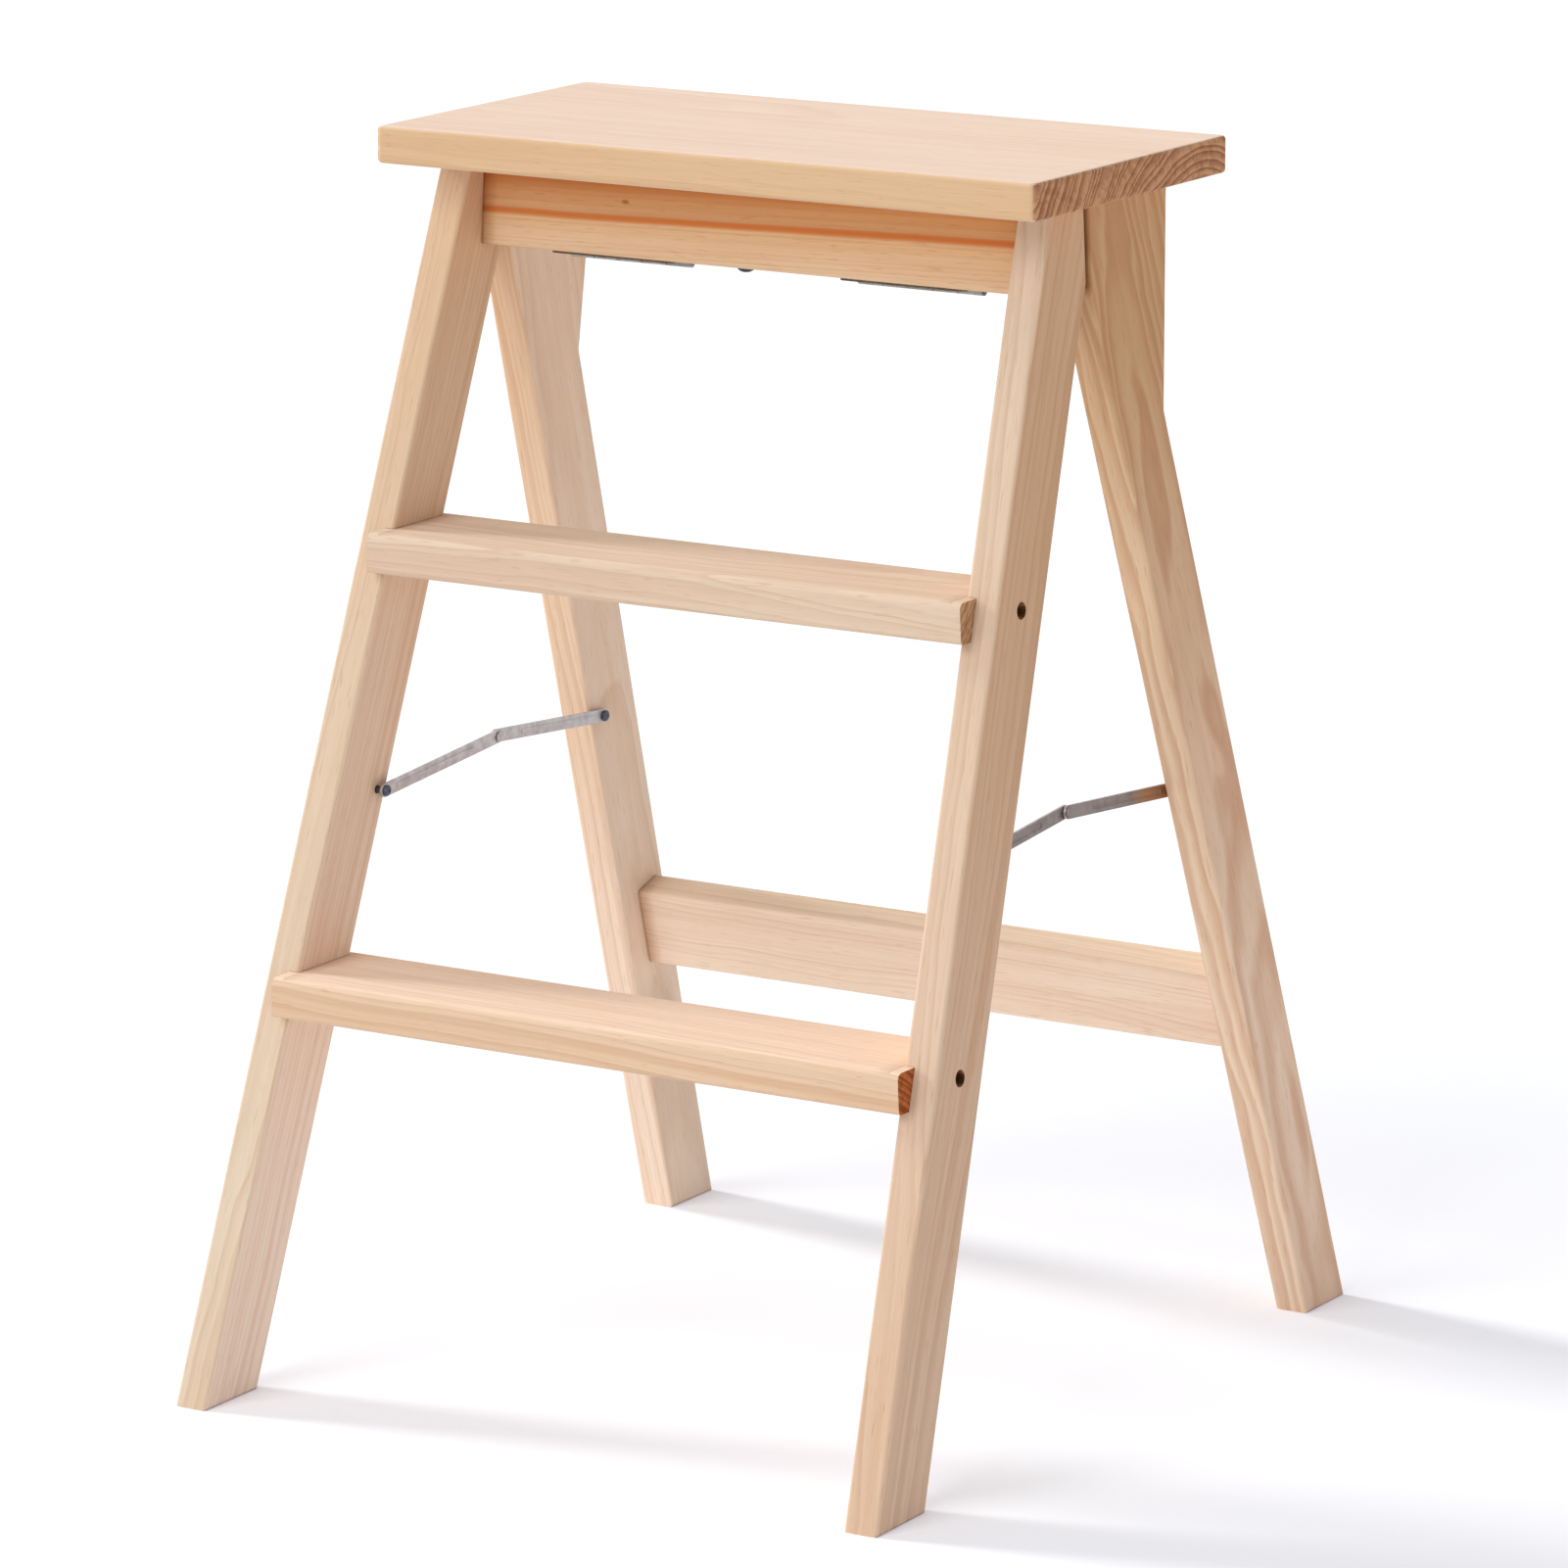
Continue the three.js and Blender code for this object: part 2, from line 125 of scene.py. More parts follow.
def rampNode(tree, place, factor, stops, interpolation="LINEAR"):
    node = addNode(tree, "ShaderNodeValToRGB", place)
    ramp = node.color_ramp
    ramp.interpolation = interpolation
    while len(ramp.elements) < len(stops):
        ramp.elements.new(0.5)
    for element, (position, colour) in zip(ramp.elements, stops):
        element.position = position
        element.color = (*colour, 1.0) if isinstance(colour, tuple) else (colour, colour, colour, 1.0)
    feed(tree, node.inputs["Fac"], factor)
    return node.outputs["Color"]


def mixColour(tree, place, blend, factor, first, second):
    node = addNode(tree, "ShaderNodeMix", place, data_type="RGBA", blend_type=blend)
    firstColour, secondColour = [socket for socket in node.inputs if socket.type == "RGBA"]
    feed(tree, node.inputs["Factor"], factor)
    feed(tree, firstColour, first)
    feed(tree, secondColour, second)
    return [socket for socket in node.outputs if socket.type == "RGBA"][0]


def addRelief(tree, place, shader, height, strength, depth):
    bump = addNode(tree, "ShaderNodeBump", place)
    bump.inputs["Strength"].default_value = strength
    bump.inputs["Distance"].default_value = depth
    feed(tree, bump.inputs["Height"], height)
    feed(tree, shader.inputs["Normal"], bump.outputs["Normal"])


def addOutput(tree, place, shader, kind="ShaderNodeOutputMaterial"):
    output = addNode(tree, kind, place)
    feed(tree, output.inputs["Surface"], shader.outputs[0])


def centreOf(node):
    low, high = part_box(node)
    return (Vector(low) + Vector(high)) / 2


# Pine under a clear satin lacquer. Growth rings are cylinders round the pith of the log that the
# board was sawn from, so faces, edges and end grain all show the same rings.

# how fast each pattern changes per metre, along the grain and then twice across it
patterns = {
    "wander": (3.0, 11.0, 11.0),
    "ripple": (16.0, 45.0, 45.0),
    "fibre": (22.0, 1100.0, 1100.0),
    "streak": (4.0, 95.0, 95.0),
    "cloud": (5.0, 16.0, 16.0),
    "duct": (90.0, 1300.0, 1300.0),
    "mottle": (60.0, 260.0, 260.0),
}
rings = {
    "swing": 2.2,               # years that their count runs ahead, so that their widths vary
    "swingScale": 0.45,         # per year
    "strengthScale": 0.8,
}
# how strongly each mark covers what lies under it
cover = {
    "fibre": 0.55,
    "duct": 0.35,
    "heartAndShadow": 0.9,
    "resin": 0.85,
    "endFibre": 0.6,
    "mottle": 0.8,
}
# what places that little light reaches are multiplied by
shades = {
    "bore": (0.16, 0.09, 0.045),
    "joint": (0.6, 0.43, 0.30),
    "corner": (0.5, 0.32, 0.18),
}
knotStretch = (300.0, 0.0, 600.0)  # per metre: a knot is wider than it is high
lacquer = {
    "refraction": 1.46,
    "gloss": 0.16,
    "coat": 0.03,
    "coatRoughness": 0.3,
    "roughness": 0.76,
    "roughStreaks": 0.16,       # added where the wood is streaked
    "roughEnds": 0.2,           # added on end grain
    "ringRelief": 0.7,          # of the fibres' relief
    "reliefStrength": 0.25,
    "reliefDepth": 0.12 * mm,
}


def patternNode(tree, place, wood, name, detail, roughness=0.5, seed=None):
    # noise drawn out along the grain
    x, y = place
    stretched = vectorNode(tree, "MULTIPLY", place, wood, patterns[name])
    if seed is not None:
        stretched = vectorNode(tree, "ADD", (x + 150, y), stretched, seed)
    return noiseNode(tree, (x + 300, y), stretched, 1.0, detail, roughness)


def sidewaysShift(tree, place, wood, name, amount, detail, seed=None):
    # moves points across the grain, by up to half the amount each way
    x, y = place
    shift = patternNode(tree, place, wood, name, detail, seed=seed)["Color"]
    shift = vectorNode(tree, "SUBTRACT", (x + 480, y), shift, (0.5, 0.5, 0.5))
    return vectorNode(tree, "MULTIPLY", (x + 630, y), shift, (0.0, amount, amount))


def logPlace(tree, surface, along, look):
    # x runs along the grain, y and z out from the pith
    log = addNode(tree, "ShaderNodeMapping", (-2200, 0), vector_type="TEXTURE")
    log.inputs["Location"].default_value = look["pith"]
    log.inputs["Rotation"].default_value = Vector((1, 0, 0)).rotation_difference(along).to_euler()
    feed(tree, log.inputs["Vector"], surface["Object"])
    return log.outputs["Vector"]


def pithDistance(tree, wood, look):
    # the trunk wanders and tapers a little
    across = vectorNode(tree, "MULTIPLY", (-1700, 50), wood, (0.0, 1.0, 1.0))
    wander = sidewaysShift(tree, (-2000, -250), wood, "wander", look["wander"], 1.5, look["seed"])
    across = vectorNode(tree, "ADD", (-1370, 50), across, wander)
    ripple = sidewaysShift(tree, (-2000, -450), wood, "ripple", look["ripple"], 1.0)
    across = vectorNode(tree, "ADD", (-1220, 50), across, ripple)
    radius = vectorNode(tree, "LENGTH", (-1060, 50), across)
    taper = mathNode(tree, "MULTIPLY", (-1220, 250), splitNode(tree, (-1700, 250), wood)["X"], look["taper"])
    return mathNode(tree, "ADD", (-900, 150), radius, taper)


def growthRings(tree, radius, look):
    # rings of uneven width: pale spring wood that darkens into a thin band, then stops short
    years = mathNode(tree, "DIVIDE", (-740, 150), radius, look["ringWidth"])
    swing = lineNoiseNode(tree, (-740, 350), years, rings["swingScale"], 1.0)
    swing = mathNode(tree, "MULTIPLY", (-580, 350), swing, rings["swing"])
    years = mathNode(tree, "ADD", (-430, 150), years, swing)
    season = mathNode(tree, "FRACT", (-280, 150), years)
    ring = rampNode(tree, (-120, 150), season,
                    [(0.0, 0.05), (0.45, 0.1), (0.8, 0.62), (0.9, 1.0), (0.97, 0.25), (1.0, 0.05)], "EASE")
    # each year's dark band has its own strength
    strength = lineNoiseNode(tree, (-280, 400), years, rings["strengthScale"], 0.0)
    strength = rampNode(tree, (-120, 400), strength, [(0.3, 0.2), (0.7, 1.0)])
    ring = mathNode(tree, "MULTIPLY", (160, 200), ring, strength)
    ring = mathNode(tree, "MULTIPLY", (160, 400), ring, 1 - look["softness"])
    softRing = rampNode(tree, (-120, 650), season, [(0.0, 0.0), (0.55, 0.8), (0.75, 0.9), (1.0, 0.0)], "EASE")
    softRing = mathNode(tree, "MULTIPLY", (160, 600), softRing, look["softness"])
    return season, mathNode(tree, "ADD", (300, 400), ring, softRing)


def woodMarks(tree, wood, look):
    # fibres, broad streaks where the sap wood turns warmer, and resin ducts, which are short dark dashes
    seed = Vector(look["seed"])
    fibre = patternNode(tree, (-1400, -600), wood, "fibre", 3.0, 0.6)["Fac"]
    duct = patternNode(tree, (-1400, -1350), wood, "duct", 0.0)["Fac"]
    return {
        "fibre": fibre,
        "fibreTone": rampNode(tree, (-1000, -600), fibre, [(0.3, (0.9, 0.88, 0.85)), (0.6, (1.0, 1.0, 1.0))]),
        "streak": patternNode(tree, (-1400, -850), wood, "streak", 3.0, 0.55, seed)["Fac"],
        "cloud": patternNode(tree, (-1400, -1100), wood, "cloud", 2.0, 0.5, -seed)["Fac"],
        "duct": rampNode(tree, (-1000, -1350), duct, [(0.7, 0.0), (0.78, 1.0)]),
    }


def sapWood(tree, ring, marks, look):
    body = mixColour(tree, (350, 500), "MIX", marks["cloud"], look["pale"], look["warm"])
    streakTone = rampNode(tree, (-900, -850), marks["streak"], [(0.38, 0.0), (0.7, 1.0)], "EASE")
    streakAmount = mathNode(tree, "MULTIPLY", (-600, -850), streakTone, look["streaks"])
    body = mixColour(tree, (550, 450), "MIX", streakAmount, body, look["streak"])
    ringAmount = mathNode(tree, "MULTIPLY", (350, 200), ring, look["ringStrength"])
    body = mixColour(tree, (750, 400), "MIX", ringAmount, body, look["dark"])
    body = mixColour(tree, (950, 350), "MULTIPLY", cover["fibre"], body, marks["fibreTone"])
    ductAmount = mathNode(tree, "MULTIPLY", (-700, -1350), marks["duct"], cover["duct"])
    return mixColour(tree, (1150, 300), "MIX", ductAmount, body, look["dark"])


def heartWoodAndSeatShadow(tree, radius, body, look):
    # heartwood near the pith, with a streak of resin along its edge; on the apron the innermost band, just
    # under the seat, is painted shadow of the seat's overhang
    inward = mathNode(tree, "DIVIDE", (-740, -50), radius, 2 * look["heartRadius"])
    heartAndShadow = rampNode(tree, (-560, -50), inward,
                     [(0.36, 1.0), (0.4, 0.85), (0.43, 0.35), (0.475, 0.3), (0.485, 0.8), (0.502, 0.0)])
    resin = rampNode(tree, (-280, -50), inward, [(0.478, 0.0), (0.487, 1.0), (0.494, 1.0), (0.502, 0.0)])
    heartAndShadow = mathNode(tree, "MULTIPLY", (950, 550), heartAndShadow, cover["heartAndShadow"])
    resin = mathNode(tree, "MULTIPLY", (1150, 650), resin, cover["resin"])
    body = mixColour(tree, (1150, 500), "MIX", heartAndShadow, body, look["heartAndShadow"])
    return mixColour(tree, (1350, 500), "MIX", resin, body, look["resin"])


def smallKnot(tree, surface, body, look):
    knot = vectorNode(tree, "SUBTRACT", (950, 850), surface["Object"], look["knot"])
    knot = vectorNode(tree, "MULTIPLY", (1100, 850), knot, knotStretch)
    knot = vectorNode(tree, "LENGTH", (1250, 850), knot)
    knot = rampNode(tree, (1400, 850), knot, [(0.2, 0.75), (1.0, 0.0)], "EASE")
    return mixColour(tree, (1350, 650), "MIX", knot, body, look["endDark"])


def screwBore(tree, row, surface, body, screw):
    # painted shade: the bore's wall over a sunk screw head is darkened, and the face of the board round it
    # isn't
    bore = vectorNode(tree, "SUBTRACT", (950, row), surface["Object"], centreOf(screw))
    bore = vectorNode(tree, "MULTIPLY", (1100, row), bore, (0.0, 1 / shadeSpan, 1 / shadeSpan))
    bore = vectorNode(tree, "LENGTH", (1250, row), bore)
    bore = rampNode(tree, (1400, row), bore, [(0.45, 1.0), (0.47, 0.0)])
    wall = vectorNode(tree, "DOT_PRODUCT", (950, row + 100), surface["Normal"], (1, 0, 0))
    wall = mathNode(tree, "ABSOLUTE", (1100, row + 100), wall)
    wall = rampNode(tree, (1250, row + 100), wall, [(0.5, 1.0), (0.8, 0.0)])
    bore = mathNode(tree, "MULTIPLY", (1600, row), bore, wall)
    return mixColour(tree, (1350, row), "MULTIPLY", bore, body, shades["bore"])


def boardToneAndLight(tree, height, front, body, look):
    # each board has its own tone; painted light and shade change it with the height, and the faces that look
    # to the front and the back get a lit copy of their own
    low, high = look["toneRise"]
    tone = rampNode(tree, (550, -500), height, [(low, look["lowToneLit"]), (high, look["highToneLit"])])
    frontLitTone = rampNode(tree, (550, -1000), height, [(low, look["lowFrontLit"]), (high, look["highFrontLit"])])
    tone = mixColour(tree, (1050, -550), "MIX", front, tone, frontLitTone)
    return mixColour(tree, (1350, 400), "MULTIPLY", 1.0, body, tone)


def jointShade(tree, level, body, look):
    # little light reaches the edges where the two frames butt
    away = mathNode(tree, "SUBTRACT", (550, -1250), level["Y"], stool["jointPlane"])
    away = mathNode(tree, "ABSOLUTE", (600, -1350), away)
    away = mathNode(tree, "MULTIPLY", (700, -1250), away, 1 / shadeSpan)
    shade = rampNode(tree, (850, -1250), away, [(0.15, 1.0), (0.36, 0.0)])
    shade = mathNode(tree, "MULTIPLY", (1050, -1250), shade, look["jointShade"])
    return mixColour(tree, (1450, 550), "MULTIPLY", shade, body, shades["joint"])


def cornerShade(tree, level, front, body, look):
    # nor does much light reach the corners between a rail or a tread and the sides
    spread = mathNode(tree, "SUBTRACT", (400, -1700), stool["seatHeight"], level["Z"])
    spread = mathNode(tree, "MULTIPLY", (550, -1700), spread, stool["splay"])
    reach = mathNode(tree, "ADD", (700, -1700), spread, stool["innerFace"])
    away = mathNode(tree, "ABSOLUTE", (700, -1800), level["X"])
    away = mathNode(tree, "SUBTRACT", (850, -1700), reach, away)
    away = mathNode(tree, "MULTIPLY", (1000, -1700), away, 1 / shadeSpan)
    shade = rampNode(tree, (1150, -1700), away, [(0.0, 0.0), (0.02, 1.0), (0.2, 0.55), (0.9, 0.0)])
    openFront = mathNode(tree, "MULTIPLY", (1150, -1850), front, look["openFront"])
    shade = mathNode(tree, "SUBTRACT", (1400, -1700), shade, openFront, clamp=True)
    shade = mathNode(tree, "MULTIPLY", (1550, -1700), shade, look["cornerShade"])
    return mixColour(tree, (1450, 700), "MULTIPLY", shade, body, shades["corner"])


def endGrainColour(tree, wood, season, marks, look):
    # end grain drinks the lacquer and turns a deep reddish brown
    ring = rampNode(tree, (650, 0), season, [(0.0, 0.0), (0.35, 0.25), (0.85, 1.0), (1.0, 0.0)])
    colour = mixColour(tree, (950, 0), "MIX", ring, look["endPale"], look["endDark"])
    colour = mixColour(tree, (1150, 0), "MULTIPLY", cover["endFibre"], colour, marks["fibreTone"])
    mottle = patternNode(tree, (650, -1500), wood, "mottle", 3.0, 0.6)["Fac"]
    mottle = rampNode(tree, (1100, -1500), mottle,
                      [(0.36, (0.72, 0.64, 0.58)), (0.6, (1.0, 1.0, 1.0))], "EASE")
    return mixColour(tree, (1350, 0), "MULTIPLY", cover["mottle"], colour, mottle)


def lacquerShader(tree, body, ring, marks, endGrain):
    shader = addNode(tree, "ShaderNodeBsdfPrincipled", (1800, 200))
    shader.inputs["IOR"].default_value = lacquer["refraction"]
    shader.inputs["Specular IOR Level"].default_value = lacquer["gloss"]
    shader.inputs["Coat Weight"].default_value = lacquer["coat"]
    shader.inputs["Coat Roughness"].default_value = lacquer["coatRoughness"]
    feed(tree, shader.inputs["Base Color"], body)
    rough = mathNode(tree, "MULTIPLY", (1350, -50), marks["streak"], lacquer["roughStreaks"])
    rough = mathNode(tree, "ADD", (1500, -50), rough, lacquer["roughness"])
    roughEnds = mathNode(tree, "MULTIPLY", (1500, -150), endGrain, lacquer["roughEnds"])
    rough = mathNode(tree, "ADD", (1650, -50), rough, roughEnds)
    feed(tree, shader.inputs["Roughness"], rough)
    relief = mathNode(tree, "MULTIPLY", (1150, -350), ring, lacquer["ringRelief"])
    relief = mathNode(tree, "ADD", (1300, -350), relief, marks["fibre"])
    relief = mathNode(tree, "SUBTRACT", (1450, -350), relief, marks["duct"])
    addRelief(tree, (1600, -350), shader, relief, lacquer["reliefStrength"], lacquer["reliefDepth"])
    return shader


def pineMaterial(name, look):
    material = newMaterial(name)
    tree = material.node_tree
    surface = addNode(tree, "ShaderNodeTexCoord", (-2400, 0)).outputs
    level = splitNode(tree, (350, -500), surface["Object"])
    along = Vector(look["grain"]).normalized()
    wood = logPlace(tree, surface, along, look)
    radius = pithDistance(tree, wood, look)
    season, ring = growthRings(tree, radius, look)
    marks = woodMarks(tree, wood, look)

    body = sapWood(tree, ring, marks, look)
    body = heartWoodAndSeatShadow(tree, radius, body, look)
    if "knot" in look:
        body = smallKnot(tree, surface, body, look)
    for number, screw in enumerate(look["screws"]):
        body = screwBore(tree, 1050 + 200 * number, surface, body, screw)

    # 1 on the faces that look to the front or the back
    front = vectorNode(tree, "DOT_PRODUCT", (350, -700), surface["Normal"], (0, 1, 0))
    front = mathNode(tree, "ABSOLUTE", (550, -750), front)
    front = rampNode(tree, (750, -700), front, [(0.45, 0.0), (0.8, 1.0)], "EASE")
    body = boardToneAndLight(tree, level["Z"], front, body, look)
    body = jointShade(tree, level, body, look)
    body = cornerShade(tree, level, front, body, look)

    # 1 on the faces across the grain
    endGrain = vectorNode(tree, "DOT_PRODUCT", (350, -200), surface["Normal"], along)
    endGrain = mathNode(tree, "ABSOLUTE", (500, -200), endGrain)
    endGrain = rampNode(tree, (650, -200), endGrain, [(0.35, 0.0), (0.8, 1.0)], "EASE")
    endColour = endGrainColour(tree, wood, season, marks, look)
    body = mixColour(tree, (1550, 250), "MIX", endGrain, body, endColour)
    addOutput(tree, (2100, 200), lacquerShader(tree, body, ring, marks, endGrain))
    return material


# Plated steel: faint clouds, drawn lines and dark specks in the plating

plating = {
    "cloudScale": 160.0,        # per metre
    "speckScale": 1900.0,
    "speckCover": 0.5,
    "roughLines": 0.22,         # added by the drawn lines
    "roughClouds": 0.08,
    "reliefStrength": 0.2,
    "reliefDepth": 0.03 * mm,
}


def stripShadeAndReflection(tree, surface, colour, look):
    # painted shade: the side of a strip that looks away from the stool's middle, towards the board, is
    # darkened
    place = splitNode(tree, (-900, 450), surface["Object"])
    facing = splitNode(tree, (-900, 600), surface["Normal"])
    outwards = mathNode(tree, "MULTIPLY", (-700, 500), place["X"], facing["X"])
    outwards = rampNode(tree, (-500, 500), outwards, [(0.01, 0.0), (0.1, 1.0)])
    colour = mixColour(tree, (0, 300), "MULTIPLY", outwards, colour, look["backShade"])
    # and near the rear leg that side gets a painted reflection of the wood
    behind = mathNode(tree, "SUBTRACT", (-700, 700), place["Y"], look["mirrorStart"])
    behind = mathNode(tree, "MULTIPLY", (-550, 700), behind, 1 / look["mirrorRun"])
    behind = rampNode(tree, (-400, 700), behind, [(0.0, 0.0), (0.99, 1.0)], "EASE")
    behind = mathNode(tree, "MULTIPLY", (-250, 600), behind, outwards)
    return mixColour(tree, (120, 400), "MIX", behind, colour, look["mirrored"])


def steelMaterial(name, look):
    material = newMaterial(name)
    tree = material.node_tree
    surface = addNode(tree, "ShaderNodeTexCoord", (-1200, 0)).outputs
    cloud = noiseNode(tree, (-900, 200), surface["Object"], plating["cloudScale"], 3.0, 0.6)["Fac"]
    cloud = rampNode(tree, (-700, 200), cloud, [(0.35, 0.0), (0.68, 1.0)], "EASE")
    lines = vectorNode(tree, "MULTIPLY", (-1000, -100), surface["Object"], look["linesAcross"])
    lines = noiseNode(tree, (-850, -100), lines, 1.0, 2.0, 0.7)["Fac"]
    speck = noiseNode(tree, (-850, -350), surface["Object"], plating["speckScale"], 1.0)["Fac"]
    speck = rampNode(tree, (-650, -350), speck, [(0.62, 0.0), (0.75, 1.0)])
    speck = mathNode(tree, "MULTIPLY", (-450, -350), speck, plating["speckCover"])
    colour = mixColour(tree, (-400, 200), "MIX", cloud, look["bright"], look["dull"])
    colour = mixColour(tree, (-200, 200), "MIX", speck, colour, look["speck"])
    if "backShade" in look:
        colour = stripShadeAndReflection(tree, surface, colour, look)

    shader = addNode(tree, "ShaderNodeBsdfPrincipled", (250, 100))
    shader.inputs["Metallic"].default_value = look["metal"]
    shader.inputs["Specular IOR Level"].default_value = look["shine"]
    feed(tree, shader.inputs["Base Color"], colour)
    rough = mathNode(tree, "MULTIPLY", (-400, 0), lines, plating["roughLines"])
    rough = mathNode(tree, "ADD", (-250, 0), rough, look["roughness"])
    roughClouds = mathNode(tree, "MULTIPLY", (-250, -120), cloud, plating["roughClouds"])
    rough = mathNode(tree, "ADD", (-100, 0), rough, roughClouds)
    feed(tree, shader.inputs["Roughness"], rough)
    addRelief(tree, (0, -250), shader, lines, plating["reliefStrength"], plating["reliefDepth"])
    addOutput(tree, (500, 100), shader)
    return material


# Camera, at the photograph's viewing angle

view = {
    "place": (2.0695, -3.3876, 1.1963),
    "target": (0.0048, 0.0026, 0.2989),
    "lens": 183.97,     # millimetres
    "sensor": 36,       # millimetres wide
    "farthest": 200,    # metres
}


def aimed(direction, axis):
    # turns a camera or a lamp so that its axis looks along the direction
    return Vector(direction).to_track_quat(axis, "Y").to_euler()


def addCamera():
    camera = bpy.data.cameras.new("photoCamera")
    camera.lens = view["lens"]
    camera.sensor_width = view["sensor"]
    camera.clip_end = view["farthest"]
    holder = bpy.data.objects.new("photoCamera", camera)
    holder.location = view["place"]
    holder.rotation_euler = aimed(Vector(view["target"]) - Vector(view["place"]), "-Z")
    bpy.context.scene.collection.objects.link(holder)
    bpy.context.scene.camera = holder


# Studio: a white floor that keeps the shadows, two soft lamps and an even white room.
# A lamp of level 1 lights a face that looks straight at it as its colour is written.

studio = {
    "roomLevel": 0.49,
    "keyLevel": 0.68,
    "keyFrom": (-1.0, -0.055, 0.44),
    "keySoftness": math.radians(13),
    "fillLevel": 0.38,
    "fillFrom": (-0.25, -1.0, 0.75),
    "fillSoftness": math.radians(40),
    "backdropLevel": 1,
    "backdropColour": (1.0, 1.0, 1.0),
    "floorSize": 60,
    "floorColour": (0.915, 0.927, 0.95),
    "floorGlow": 0.16,  # seen by the camera only, directly or mirrored
    "glowColour": (0.98, 0.98, 1.15),
}


def addSun(name, level, fromPlace, softness):
    sun = bpy.data.lights.new(name, "SUN")
    sun.energy = level * math.pi
    sun.angle = softness
    holder = bpy.data.objects.new(name, sun)
    holder.rotation_euler = aimed(fromPlace, "Z")
    bpy.context.scene.collection.objects.link(holder)


def seenDirectly(tree, place):
    x, y = place
    path = addNode(tree, "ShaderNodeLightPath", place).outputs
    either = mathNode(tree, "MAXIMUM", (x + 200, y), path["Is Camera Ray"], path["Is Glossy Ray"])
    return mathNode(tree, "MAXIMUM", (x + 400, y), either, path["Is Transmission Ray"])


def roomLight(tree, place, strength):
    room = addNode(tree, "ShaderNodeBackground", place)
    feed(tree, room.inputs["Color"], studio["backdropColour"])
    feed(tree, room.inputs["Strength"], strength)
    return room.outputs[0]


def addRoom():
    world = bpy.data.worlds.new("whiteRoom")
    bpy.context.scene.world = world
    world.use_nodes = True
    tree = world.node_tree
    tree.nodes.clear()
    choice = addNode(tree, "ShaderNodeMixShader", (250, 0))
    feed(tree, choice.inputs[0], seenDirectly(tree, (-500, 200)))
    feed(tree, choice.inputs[1], roomLight(tree, (0, 0), studio["roomLevel"]))
    feed(tree, choice.inputs[2], roomLight(tree, (0, -150), studio["backdropLevel"]))
    addOutput(tree, (450, 0), choice, "ShaderNodeOutputWorld")


def paperMaterial():
    paper = newMaterial("whitePaperFloor")
    tree = paper.node_tree
    matt = addNode(tree, "ShaderNodeBsdfDiffuse", (0, 0))
    feed(tree, matt.inputs["Color"], studio["floorColour"])
    glow = addNode(tree, "ShaderNodeEmission", (0, -150))
    feed(tree, glow.inputs["Color"], studio["glowColour"])
    strength = mathNode(tree, "MULTIPLY", (-200, -150), seenDirectly(tree, (-800, -100)), studio["floorGlow"])
    feed(tree, glow.inputs["Strength"], strength)
    both = addNode(tree, "ShaderNodeAddShader", (250, 0))
    feed(tree, both.inputs[0], matt.outputs[0])
    feed(tree, both.inputs[1], glow.outputs[0])
    addOutput(tree, (450, 0), both)
    return paper


def addFloor():
    bpy.ops.object.select_all(action="DESELECT")
    bpy.ops.mesh.primitive_plane_add(size=studio["floorSize"], location=(0, 0, 0))
    floor = bpy.context.object
    floor.name = "studioFloor"
    floor.data.materials.append(paperMaterial())


addCamera()
addSun("keyLamp", studio["keyLevel"], studio["keyFrom"], studio["keySoftness"])
addSun("fillLamp", studio["fillLevel"], studio["fillFrom"], studio["fillSoftness"])
addRoom()
addFloor()
bpy.context.scene.view_settings.view_transform = "Standard"
print("camera and studio ready")


# Boards

pineBase = {
    "pale": (0.968, 0.805, 0.682),
    "warm": (0.894, 0.706, 0.555),
    "streak": (0.852, 0.622, 0.464),
    "dark": (0.66, 0.414, 0.256),
    "heartAndShadow": (0.535, 0.225, 0.09),
    "resin": (0.74, 0.25, 0.065),
    "endPale": (0.58, 0.31, 0.17),
    "endDark": (0.33, 0.14, 0.075),
    "lowToneLit": (0.90, 0.84, 0.76),
    "highToneLit": (0.87, 0.80, 0.72),
    "lowFrontLit": (0.88, 0.83, 0.76),
    "highFrontLit": (0.88, 0.83, 0.76),
    "toneRise": (0.05, 0.45),   # heights of the low and the high tone
    "streaks": 0.5,
    "ringStrength": 0.5,
    "softness": 0.15,           # 0 has thin sharp rings, 1 broad and blurred ones
    "ringWidth": 3.4 * mm,
    "heartRadius": 0.1 * mm,    # no heartwood shows in most of the boards
    "wander": 0.02,
    "ripple": 0.003,
    "taper": 0.02,
    "jointShade": 0.0,
    "cornerShade": 0.0,
    "openFront": 0.0,           # 1 where the nose stands in front of the sides
    "screws": [],
}
crosswise = (1.0, 0.0, 0.0)


def leaning(side, towards):
    # direction up a leg: side is 1 on the right, towards is 1 where the top leans to the back
    return (-side * stool["splay"], towards * stool["lean"], 1.0)


